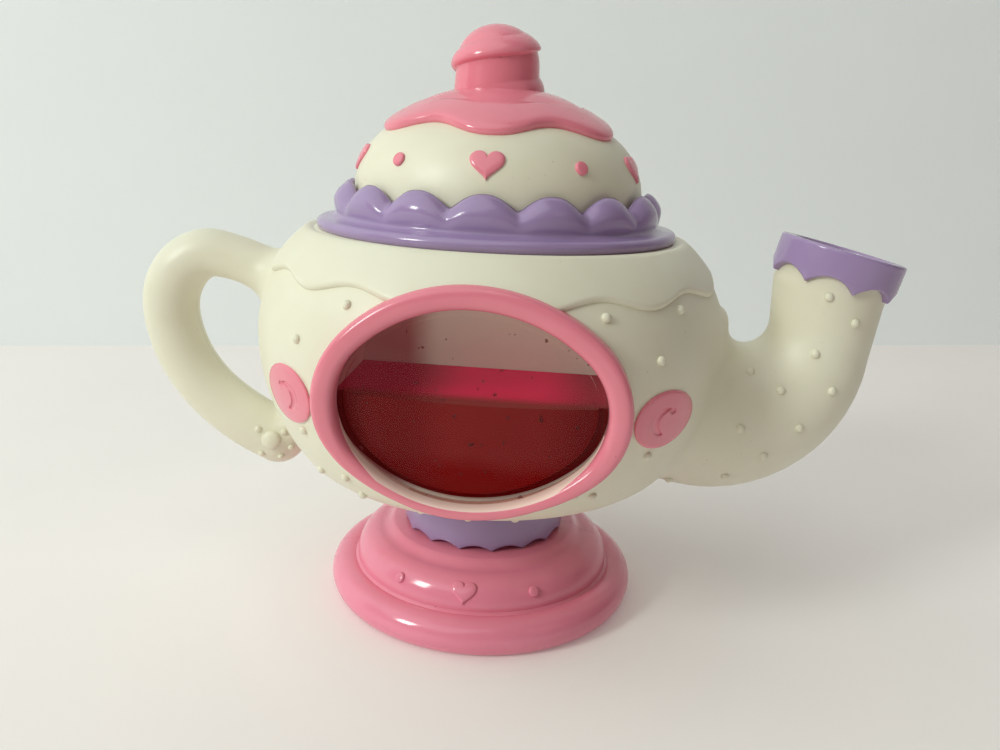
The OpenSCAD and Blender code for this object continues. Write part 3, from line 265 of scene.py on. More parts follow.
@dataclass(frozen=True)
class Tea(Finish):
    """Coloured water behind the window, with painted light: deep red low down, a lighter wine
    brown painted higher up, a painted highlight on its level top, painted shade towards its ends
    and a painted glow.
    """

    name: str = "red_tea_liquid"
    deep: str = "#7c0203"
    # The upper colour, the top colour, the end colour and the glow below are painted light and
    # shade
    upper_painted_light: str = "#862a2b"
    top_painted_highlight: str = "#d81c5a"
    end_painted_shade: str = "#641618"
    lit_middle_x: float = 8.0
    end_shade_reach: Point2 = (10.0, 28.0)
    glow: float = 0.22
    level_mm: float = 93.0
    foot_mm: float = 58.0
    front_mm: Point2 = (-68.0, -59.0)
    cloud_mm: float = 16.0
    sway_mm: float = 4.0

    def draw(self, graph: Graph) -> None:
        """Draws a glossy liquid whose painted light goes by its depth below the level: lit on top,
        shaded away from the middle, glowing evenly.
        """
        x, y, z = graph.axes(graph.place)
        bent = graph.calc("MULTIPLY_ADD", graph.noise(self.cloud_mm, 3.0), self.sway_mm * MM, z)
        height = graph.spread(bent, self.foot_mm * MM, self.level_mm * MM)
        ramp = add_node(graph.tree, "ShaderNodeValToRGB", None, {"Fac": height})
        stops = ramp.color_ramp.elements
        # Painted light: deep red low down, turning to a lighter wine brown higher up
        stops[0].position, stops[0].color = 0.10, linear(self.deep)
        stops[1].position, stops[1].color = 0.58, linear(self.upper_painted_light)
        stops.new(0.42).color = linear(self.deep)
        # Painted highlight on the level top, kept off the front edge
        back = graph.spread(y, *(at * MM for at in self.front_mm), soft=True)
        level = graph.calc("MULTIPLY", graph.axes(graph.geometry("Normal"))["Z"], back, clamp=True)
        top_lit = graph.blend(level, ramp.outputs["Color"], self.top_painted_highlight)
        # Painted shade towards the window's ends, away from the lit middle
        far = graph.calc("ABSOLUTE", graph.calc("ADD", x, -self.lit_middle_x * MM))
        end_shade_share = graph.spread(far, *(at * MM for at in self.end_shade_reach), (0.0, 0.7), True)
        shaded = graph.blend(end_shade_share, top_lit, self.end_painted_shade)
        # Painted glow: the liquid gives off light in its own colour
        graph.show(graph.shader("Principled", {
            "Base Color": shaded, "Roughness": 0.12, "IOR": 1.33, "Specular IOR Level": 0.1,
            "Emission Color": shaded, "Emission Strength": self.glow}))


@dataclass(frozen=True)
class TeaTub(Finish):
    """Thin pale styrene behind the tea, with a painted glow and a painted shadow over its left
    end.
    """

    name: str = "styrene_painted_shadow_moulded"
    pale: str = "#d0d0c4"
    # The colour below is a painted shadow over the tub's left end, and the glow is painted light
    left_painted_shadow: str = "#a06a6a"
    shadow_edge_mm: Point2 = (-23.0, -11.0)
    glow: float = 0.27
    cloud_mm: float = 14.0
    sway_mm: float = 4.0

    def draw(self, graph: Graph) -> None:
        """Draws satin plastic with a painted glow, darkened by a painted shadow towards its left
        end.
        """
        # Painted shadow over the left end, with a wavy edge
        bent = graph.calc("MULTIPLY_ADD", graph.noise(self.cloud_mm, 3.0), self.sway_mm * MM,
                          graph.axes(graph.place)["X"])
        unshadowed_share = graph.spread(bent, *(at * MM for at in self.shadow_edge_mm), soft=True)
        tone = graph.blend(unshadowed_share, self.left_painted_shadow, self.pale)
        # Painted glow: the tub gives off light in its own colour
        graph.show(graph.shader("Principled", {
            "Base Color": tone, "Roughness": 0.4, "Emission Color": tone,
            "Emission Strength": self.glow}))


@dataclass(frozen=True)
class Metal(Finish):
    """Turned or stamped metal with fine drawn marks and a little tarnish."""

    colour: str
    tarnish: str
    roughness: float = 0.3
    mark_mm: float = 0.6
    tarnish_mm: float = 5.0

    def draw(self, graph: Graph) -> None:
        """Draws patchy tarnish, and roughness that follows the marks."""
        tone = graph.blend(graph.noise(self.tarnish_mm, 4.0), self.colour, self.tarnish)
        gloss = graph.spread(graph.noise(self.mark_mm, 3.0), 0.0, 1.0,
                             (self.roughness - 0.1, self.roughness + 0.15))
        graph.show(graph.shader("Principled", {"Base Color": tone, "Metallic": 1.0,
                                               "Roughness": gloss}))


@dataclass(frozen=True)
class Patterned(Finish):
    """A matt or satin sheet good, such as laminate, card or printed film, with fibrous pattern."""

    colour: str
    second: str
    roughness: float
    pattern_mm: float
    stretch: tuple[float, float, float] = (1.0, 1.0, 1.0)

    def draw(self, graph: Graph) -> None:
        """Draws a two-tone fibrous surface with a fine bump."""
        drawn = add_node(graph.tree, "ShaderNodeMapping", None,
                         {"Vector": graph.place, "Scale": self.stretch})
        fibre = graph.noise(self.pattern_mm, 5.0, at=drawn.outputs["Vector"])
        tone = graph.blend(fibre, self.colour, self.second)
        graph.show(graph.shader("Principled", {"Base Color": tone, "Roughness": self.roughness,
                                               "Normal": graph.bump(fibre, 0.2, 0.1)}))


@dataclass(frozen=True)
class StagePaper(Finish):
    """Plain paper of the stage, seen from its front only, so that views from behind are clear."""

    colour: str
    glow: float = 0.15
    tooth_mm: float = 60.0

    def draw(self, graph: Graph) -> None:
        """Draws pale matt paper, slightly cloudy, that is clear from behind."""
        shaded = tuple(0.97 * c for c in linear(self.colour)[:3]) + (1.0,)
        tone = graph.blend(graph.noise(self.tooth_mm, 3.0), self.colour, shaded)
        paper = graph.shader("Principled", {
            "Base Color": tone, "Roughness": 0.7, "Specular IOR Level": 0.2,
            "Emission Color": tone, "Emission Strength": self.glow})
        graph.show(graph.layer(graph.geometry("Backfacing"), paper, graph.shader("Transparent")))


# The cream shells have yellowed unevenly and gone satin; pink and lavender are even and glossy
CREAM = MouldedPlastic("cream_abs_moulded", "#e9e6d2", "#e3ddc6", 0.42, 45.0)
PINK = MouldedPlastic("pink_abs_moulded", "#ee8a9b", "#e88294", 0.15, 30.0, speck="#b4505f",
                      speck_share=0.03)
BASE_PINK = MouldedPlastic("deep_pink_abs_moulded", "#f290a9", "#ec88a1", 0.15, 30.0,
                           speck="#b4505f")
LAVENDER = MouldedPlastic("lavender_abs_moulded", "#a58db8", "#9c84af", 0.17, 30.0,
                          speck="#6d5a7c")
# A paler copy of the pink: a painted highlight on the lit lower lip of the window
PAINTED_HIGHLIGHT_PINK = MouldedPlastic("pink_abs_painted_highlight", "#f8dccf", "#f3d0c4", 0.2, 20.0, speck_share=0.0)
WHITE = MouldedPlastic("white_styrene_moulded", "#d9d6d0", "#cfccc6", 0.35, 20.0, speck_share=0.0)
BLACK = MouldedPlastic("black_abs_moulded", "#2b2b2e", "#232326", 0.4, 12.0, speck="#4a4a4e")


def clamp(value: float) -> float:
    """Keeps a value between nought and one."""
    return min(max(value, 0), 1)


def ring_steps(count: int) -> Iterable[float]:
    """Angles that divide a turn evenly."""
    return (math.tau * i / count for i in range(count))


def polar(turn: float, r: float, z: float) -> tuple[float, float, float]:
    """A point at an azimuth, measured from the front towards the spout."""
    return r * math.sin(turn), -r * math.cos(turn), z


def aim(way: Vector) -> Matrix:
    """A turn that points Z along a direction."""
    return way.to_track_quat("Z", "Y").to_matrix().to_4x4()


def face_out(bm: Mesh) -> None:
    """Turns every face outwards."""
    bmesh.ops.recalc_face_normals(bm, faces=bm.faces)


def arc(centre: Point2, radius: float, start: float, end: float, count: int) -> list[Point2]:
    """Points along an arc.

    Args:
        centre: middle of the arc.
        radius: its radius.
        start: first angle in degrees.
        end: last angle in degrees.
        count: number of points.

    Returns:
        The points, both ends included.
    """
    turns = [math.radians(start + (end - start) * i / (count - 1)) for i in range(count)]
    return [(centre[0] + radius * math.cos(t), centre[1] + radius * math.sin(t)) for t in turns]


def write_mesh(bm: Mesh, name: str) -> bpy.types.Mesh:
    """Writes a bmesh out as a new mesh and frees it."""
    mesh = bpy.data.meshes.new(name)
    bm.to_mesh(mesh)
    bm.free()
    return mesh


def absorb(bm: Mesh, other: Mesh) -> None:
    """Adds one bmesh to another and frees it."""
    mesh = write_mesh(other, "absorbed")
    bm.from_mesh(mesh)
    bpy.data.meshes.remove(mesh)


def link(name: str, data: bpy.types.ID) -> bpy.types.Object:
    """Adds an object to the scene."""
    made = bpy.data.objects.new(name, data)
    bpy.context.scene.collection.objects.link(made)
    return made


def take(blank: bpy.types.Object, *tools: bpy.types.Object) -> Mesh:
    """Reads what an object's modifiers make, and removes the object and its tools.

    Args:
        blank: the object with the modifiers.
        tools: objects that the modifiers use.

    Returns:
        The finished mesh.
    """
    result = bmesh.new()
    result.from_object(blank, bpy.context.evaluated_depsgraph_get())
    for spent in (blank, *tools):
        mesh = spent.data
        bpy.data.objects.remove(spent)
        bpy.data.meshes.remove(mesh)
    return result


def cut(bm: Mesh, cutter: Mesh) -> Mesh:
    """Takes one closed mesh away from another; both are freed."""
    blank = link("cut_blank", write_mesh(bm, "cut_blank"))
    tool = link("cut_tool", write_mesh(cutter, "cut_tool"))
    step = blank.modifiers.new("cut", "BOOLEAN")
    step.operation, step.solver, step.object = "DIFFERENCE", "EXACT", tool
    return take(blank, tool)


def revolve(bm: Mesh, profile: Sequence[Point2], steps: int, closed: bool = True,
            merge: float = 1e-4, axis: Sequence[float] = UP) -> None:
    """Spins a profile a full turn about an axis.

    Args:
        bm: the mesh to add to.
        profile: radius and height pairs, going along the section.
        steps: sides of the turn.
        closed: whether the section's last point joins its first.
        merge: points nearer than this become one.
        axis: the axis, upright unless told.
    """
    rim = [bm.verts.new(Vector((r, 0, 0)) + h * Vector(axis)) for r, h in profile]
    after = rim[1:] + rim[:1] if closed else rim[1:]
    edges = [bm.edges.new(pair) for pair in zip(rim, after)]
    bmesh.ops.spin(bm, geom=rim + edges, cent=(0, 0, 0), axis=axis, angle=math.tau, steps=steps,
                   use_merge=True)
    bmesh.ops.remove_doubles(bm, verts=bm.verts, dist=merge)


def bend(bm: Mesh, rule: Callable[[float, float, float], Point2]) -> None:
    """Moves each vertex of a spun piece in its own radial plane.

    Args:
        bm: the spun mesh.
        rule: gives a new radius and height from a radius, height and azimuth.
    """
    for v in bm.verts:
        turn = math.atan2(v.co.x, -v.co.y)
        v.co = polar(turn, *rule(math.hypot(v.co.x, v.co.y), v.co.z, turn))
    face_out(bm)


def hand_over(bm: Mesh, name: str, body: Body, slot: Slot, finish: Finish,
              replaces: Sequence[str] = (), sharp_deg: float = 40.0) -> None:
    """Turns a finished mesh into a piece of the toy.

    Args:
        bm: the mesh in millimetres; it is freed.
        name: the piece's name.
        body: the body that it rides on.
        slot: its material slot; not used.
        finish: its finish.
        replaces: the nodes that it stands for.
        sharp_deg: edges sharper than this stay crisp.
    """
    bmesh.ops.scale(bm, vec=(MM, MM, MM), verts=bm.verts)
    mesh = write_mesh(bm, name)
    mesh.shade_smooth()
    mesh.set_sharp_from_angle(angle=math.radians(sharp_deg))
    mesh.materials.append(finish.material())
    made = link(name, mesh)
    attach(made, body.value)
    if replaces:
        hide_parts(*replaces)
    LOG.info("%s: %d faces on %s", name, len(mesh.polygons), body.value)


def catmull(points: Sequence[Sequence[float]], per_span: int) -> np.ndarray:
    """Draws a smooth line through points.

    Args:
        points: the points, each with any number of values.
        per_span: samples between two points.

    Returns:
        The samples as rows.
    """
    p = np.array(points, float)
    p = np.vstack([2 * p[0] - p[1], p, 2 * p[-1] - p[-2]])
    out = []
    for i in range(1, len(p) - 2):
        a, b, c, d = p[i - 1:i + 3]
        for t in np.linspace(0, 1, per_span, endpoint=False):
            out.append(0.5 * (2 * b + (c - a) * t + (2 * a - 5 * b + 4 * c - d) * t ** 2
                              + (3 * b - a - 3 * c + d) * t ** 3))
    out.append(p[-2])
    return np.array(out)


@dataclass
class PotField:
    """Distance to the pot's skin: below zero inside, with soft joins of its limbs.

    A bend is its centre's x and z, its radius, and its first and last angle in degrees. A point
    of the handle is x, z and radius. The underside is a cone: radius, height and slope.
    """

    belly_ring: float = 12.9
    belly_r: float = 66.8
    shoulder_ring: float = 37.7
    shoulder_r: float = 42.0
    widest_z: float = 97.0
    under: tuple = (29.0, 39.4, 0.38)
    under_soft: float = 3.0
    handle: tuple = (
        (-66.0, 104.5, 9.6), (-76.0, 110.0, 8.7), (-84.5, 114.2, 8.1), (-93.0, 117.0, 8.0),
        (-102.7, 118.0, 8.6), (-110.5, 113.8, 9.3), (-115.4, 106.5, 9.7), (-117.0, 99.0, 9.7),
        (-116.1, 90.0, 9.6), (-112.0, 78.8, 9.6), (-104.9, 68.7, 9.7), (-96.6, 61.2, 9.9),
        (-87.6, 55.4, 10.1), (-78.4, 50.9, 10.0))
    handle_from: float = -45.0
    heel_root: tuple = (-78.4, 50.9, -62.0, 62.0, 8.0)
    heel_top: float = 70.0
    heel_blend: float = 20.0
    low_bend: tuple = (77.0, 97.0, 52.3, -124.0, -2.0)
    crotch: tuple = (88.0, 105.5, 8.0, -192.0, 0.0)
    spout_from: float = 30.0
    mouth: tuple = (116.6, 131.9)
    mouth_axis: tuple = (0.2198, 0.9755)
    tube_r: float = 18.4
    handle_fillet: float = 9.0
    heel_fillet: float = 2.5
    spout_fillet: float = 7.0

    def __post_init__(self) -> None:
        """Works out the handle's line and the spout's rings."""
        self.line = catmull(self.handle, 12)
        self.rings = []
        lx, lz, lr, l0, l1 = self.low_bend
        cx, cz, cr, c0, c1 = self.crotch
        for t in np.linspace(0, 1, 17):
            a, b = math.radians(l0 + (l1 - l0) * t), math.radians(c0 + (c1 - c0) * t)
            low = np.array([lx + lr * math.cos(a), lz + lr * math.sin(a)])
            top = np.array([cx + cr * math.cos(b), cz + cr * math.sin(b)])
            half = np.linalg.norm(low - top) / 2
            deep = half * (0.8 + 0.2 * t)
            self.rings.append((*(low + top) / 2, *(low - top) / (2 * half), half, deep))
        ax, az = self.mouth_axis
        for back in (15.0, 0.0, -9.0):
            self.rings.append((self.mouth[0] - back * ax, self.mouth[1] - back * az, az, -ax,
                               self.tube_r, self.tube_r))

    @staticmethod
    def join(a: np.ndarray, b: np.ndarray, soft: float) -> np.ndarray:
        """Joins two distances with a fillet of about that size."""
        h = np.clip(0.5 + 0.5 * (b - a) / soft, 0, 1)
        return b * (1 - h) + a * h - soft * h * (1 - h)

    def round_body(self, p: np.ndarray) -> np.ndarray:
        """Distance to the round body alone."""
        r, z = np.hypot(p[:, 0], p[:, 1]), p[:, 2] - self.widest_z
        low = np.hypot(np.maximum(r - self.belly_ring, 0), z) - self.belly_r
        high = np.hypot(np.maximum(r - self.shoulder_ring, 0), z) - self.shoulder_r
        under_r, under_z, slope = self.under
        flat = (under_z + slope * (r - under_r) - p[:, 2]) / math.hypot(1, slope)
        return -self.join(-np.where(z < 0, low, high), -flat, self.under_soft)

    @staticmethod
    def rod(p: np.ndarray, a: np.ndarray, b: np.ndarray) -> np.ndarray:
        """Distance to a chain of tapered rods in the middle plane.

        Args:
            p: points.
            a: rows of x, z and radius at each rod's start.
            b: rows of x, z and radius at each rod's end.

        Returns:
            The least distance for each point.
        """
        run = b[:, :2] - a[:, :2]
        away = p[:, None, [0, 2]] - a[None, :, :2]
        t = np.clip((away * run).sum(2) / (run ** 2).sum(1), 0, 1)
        off = away - t[:, :, None] * run
        thick = a[:, 2] + t * (b[:, 2] - a[:, 2])
        return (np.sqrt((off ** 2).sum(2) + p[:, None, 1] ** 2) - thick).min(1)

    def spout(self, p: np.ndarray) -> np.ndarray:
        """Distance to the spout's tube alone, an oval between the two rings about each point."""
        rings = np.array(self.rings)
        normal = np.stack([-rings[:, 3], rings[:, 2]], 1)
        ahead = ((p[:, None, [0, 2]] - rings[None, :, :2]) * normal).sum(2)
        index = np.clip((ahead > 0).cumprod(1).sum(1) - 1, 0, len(rings) - 2)
        rows = np.arange(len(p))
        s0, s1 = ahead[rows, index], ahead[rows, index + 1]
        f = np.clip(s0 / np.where(np.abs(s0 - s1) < 1e-9, 1e-9, s0 - s1), 0, 1)[:, None]
        ring = rings[index] * (1 - f) + rings[index + 1] * f
        along = ring[:, 2:4] / np.linalg.norm(ring[:, 2:4], axis=1)[:, None]
        u = ((p[:, [0, 2]] - ring[:, :2]) * along).sum(1)
        e = np.hypot(u / ring[:, 4], p[:, 1] / ring[:, 5])
        slope = np.maximum(np.hypot(u / ring[:, 4] ** 2, p[:, 1] / ring[:, 5] ** 2), 1e-6)
        side = np.where(e > 0.2, e * (e - 1) / slope, -ring[:, 5] * 0.5)
        return np.maximum(side, np.maximum(-ahead[:, 0], ahead[:, -1]))

    def distance(self, p: np.ndarray) -> np.ndarray:
        """Distance to the whole pot, for each point."""
        d = self.round_body(p)
        left, right = p[:, 0] < self.handle_from, p[:, 0] > self.spout_from
        if left.any():
            q = p[left]
            grip = self.rod(q, self.line[:-1], self.line[1:])
            hx, hz, rx, rz, rr = self.heel_root
            root = self.rod(q, np.array([[hx, hz, rr]]), np.array([[rx, rz, rr]]))
            upper = self.join(d[left], grip, self.handle_fillet)
            heel = self.join(d[left], root, self.heel_fillet)
            lower = self.join(heel, grip, self.heel_fillet)
            mix = np.clip((q[:, 2] - self.heel_top) / self.heel_blend, 0, 1)
            d[left] = upper * mix + lower * (1 - mix)
        if right.any():
            d[right] = self.join(d[right], self.spout(p[right]), self.spout_fillet)
        return d

    def gradient(self, p: np.ndarray) -> np.ndarray:
        """Outward direction of the skin at points, of unit length."""
        out = np.zeros_like(p)
        for axis in range(3):
            nudge = np.zeros(3)
            nudge[axis] = 0.05
            out[:, axis] = (self.distance(p + nudge) - self.distance(p - nudge)) / 0.1
        return out / np.maximum(np.linalg.norm(out, axis=1), 1e-6)[:, None]

    def settle(self, p: np.ndarray, level: float, rounds: int) -> np.ndarray:
        """Moves points onto the skin, or onto a level above it.

        Args:
            p: points near the skin.
            level: distance from the skin to stop at.
            rounds: number of corrections.

        Returns:
            The moved points.
        """
        for _ in range(rounds):
            step = self.distance(p) - level
            p = p - np.clip(step, -2, 2)[:, None] * self.gradient(p)
        return p

    def seen_at(self, eye: np.ndarray, through: Sequence[float]) -> np.ndarray:
        """Where the line from the eye through a point first meets the skin.

        Args:
            eye: the camera's place.
            through: a point near the skin.

        Returns:
            The place on the skin, or the nearest one where the line misses it.
        """
        start, tries, pace, least, close = 120, 160, 0.7, 0.002, 0.003
        ray = np.array(through, float) - eye
        ray /= np.linalg.norm(ray)
        at = eye + ray * start
        for _ in range(tries):
            gap = self.distance(at[None])[0]
            at = at + ray * max(gap, least) * pace
            if gap < close:
                return at
        return self.settle(np.array([through], float), 0.0, 30)[0]


@dataclass(frozen=True)
class Eye:
    """The photograph's camera: place in millimetres, angles in degrees, the rest in pixels."""

    place: tuple = (22.823, -286.929, 161.273)
    pitch: float = 15.752
    yaw: float = -3.832
    roll: float = -2.826
    focal_px: float = 830.0
    width_px: float = 1000.0
    height_px: float = 750.0
    sensor_mm: float = 36.0

    def axes(self) -> tuple[Vector, Vector, Vector]:
        """Right, down and forward directions of the picture."""
        p, y, r = (math.radians(v) for v in (self.pitch, self.yaw, self.roll))
        ahead = Vector((math.sin(y) * math.cos(p), math.cos(y) * math.cos(p), -math.sin(p)))
        right = Vector((math.cos(y), -math.sin(y), 0))
        down = ahead.cross(right)
        return (math.cos(r) * right + math.sin(r) * down,
                math.cos(r) * down - math.sin(r) * right, ahead)

    def ray(self, across: float, below: float) -> Vector:
        """Direction of the line of sight at a pixel of the photograph."""
        right, down, ahead = self.axes()
        return (ahead + right * ((across - self.width_px / 2) / self.focal_px)
                + down * ((below - self.height_px / 2) / self.focal_px))

    def floor_at(self, across: float, below: float) -> Vector:
        """Place on the floor that is seen at a pixel of the photograph."""
        ray = self.ray(across, below)
        return Vector(self.place) + ray * (-self.place[2] / ray.z)

    def make(self) -> None:
        """Adds the camera and makes it the scene's own."""
        right, down, ahead = self.axes()
        data = bpy.data.cameras.new("photo_camera")
        data.sensor_fit, data.sensor_width = "HORIZONTAL", self.sensor_mm
        data.lens = self.focal_px / self.width_px * self.sensor_mm
        data.clip_start, data.clip_end = 0.01, 20.0
        made = link("photo_camera", data)
        turn = Matrix((right, -down, -ahead)).transposed().to_4x4()
        made.matrix_world = Matrix.Translation(Vector(self.place) * MM) @ turn
        bpy.context.scene.camera = made


EYE = Eye()

# The window's oval is four arcs: centre and radius of its ends and sides, and where they meet
WINDOW_Z = 89.5
OVAL_END = (17.0, 25.0)
OVAL_SIDE = (18.6, 50.2)
OVAL_JOIN = math.radians(47.6)
BEZEL_HALF = 3.4
THIN_OVER = 30.0
DRAWN_OVER = 40.0


def oval_ring(bm: Mesh, section: Sequence[Point2]) -> None:
    """Sweeps a section, closed where it has more than two points, round the window's oval.

    Args:
        bm: the mesh to add to.
        section: pairs of distance outside the oval's middle line and Y.
    """
    ex, er = OVAL_END
    sz = OVAL_SIDE[0]
    start = [bm.verts.new((ex + (er + out) * math.cos(OVAL_JOIN), y,
                           WINDOW_Z - (er + out) * math.sin(OVAL_JOIN))) for out, y in section]
    after = start[1:] + start[:1] if len(start) > 2 else start[1:]
    ring = start + [bm.edges.new(pair) for pair in zip(start, after)]
    end, side = (2 * OVAL_JOIN, 40), (math.pi - 2 * OVAL_JOIN, 56)
    for cx, cz, (sweep, steps) in ((ex, 0, end), (0, -sz, side), (-ex, 0, end), (0, sz, side)):
        spun = bmesh.ops.spin(bm, geom=ring, cent=(cx, 0, WINDOW_Z + cz), axis=(0, -1, 0),
                              angle=sweep, steps=steps)
        ring = [g for g in spun["geom_last"] if not isinstance(g, bmesh.types.BMFace)]
    bmesh.ops.remove_doubles(bm, verts=bm.verts, dist=0.05)
    face_out(bm)


def oval_out(x: float, z: float) -> tuple[float, Vector]:
    """Distance outside the window oval's middle line, and the direction away from it.

    Args:
        x: place across, from the oval's centre.
        z: place up, from the oval's centre.

    Returns:
        The distance, and a unit direction in X and Z.
    """
    ex, er = OVAL_END
    sz, sr = OVAL_SIDE
    if abs(math.atan2(z, abs(x) - ex)) <= OVAL_JOIN:
        away, radius = Vector((x - math.copysign(ex, x), 0, z)), er
    else:
        away, radius = Vector((x, 0, z + math.copysign(sz, z))), sr
    return away.length - radius, away.normalized()


def slim(bm: Mesh, thin: float = 0.43, draw_in: float = 1.4) -> None:
    """Thins a ring or prism of the window's oval below and draws its left end in.

    Args:
        bm: a ring swept round the oval; the inner line of the bezel stays as it is.
        thin: share of the width that goes at the bottom.
        draw_in: how far the left end moves in.
    """
    for v in bm.verts:
        x, z = v.co.x, v.co.z - WINDOW_Z
        out, away = oval_out(x, z)
        low, left = clamp(-z / THIN_OVER) ** 2, clamp(-x / DRAWN_OVER) ** 2
        fresh = -BEZEL_HALF + (out + BEZEL_HALF) * (1 - thin * low) - draw_in * left
        v.co += away * (fresh - out)


def oval_prism(bm: Mesh, grow: float, front_y: float, back_y: float) -> None:
    """Adds a closed prism of the window's oval, that far outside its middle line."""
    oval_ring(bm, ((grow, front_y), (grow, back_y)))
    bmesh.ops.holes_fill(bm, edges=bm.edges, sides=0)
    face_out(bm)


def rod_tool(bm: Mesh, start: Sequence[float], end: Sequence[float], radius: float,
             sides: int) -> None:
    """Adds a closed round rod between two points.

    Args:
        bm: the mesh to add to.
        start: centre of one end.
        end: centre of the other end.
        radius: its radius.
        sides: number of sides.
    """
    a, b = Vector(start), Vector(end)
    bmesh.ops.create_cone(bm, cap_ends=True, cap_tris=False, segments=sides, radius1=radius,
                          radius2=radius, depth=(b - a).length,
                          matrix=Matrix.Translation((a + b) / 2) @ aim(b - a))


def block_tool(bm: Mesh, low: Sequence[float], high: Sequence[float]) -> None:
    """Adds a closed block between two corners."""
    a, b = Vector(low), Vector(high)
    size = Matrix.Diagonal((*(b - a), 1))
    bmesh.ops.create_cube(bm, size=1, matrix=Matrix.Translation((a + b) / 2) @ size)


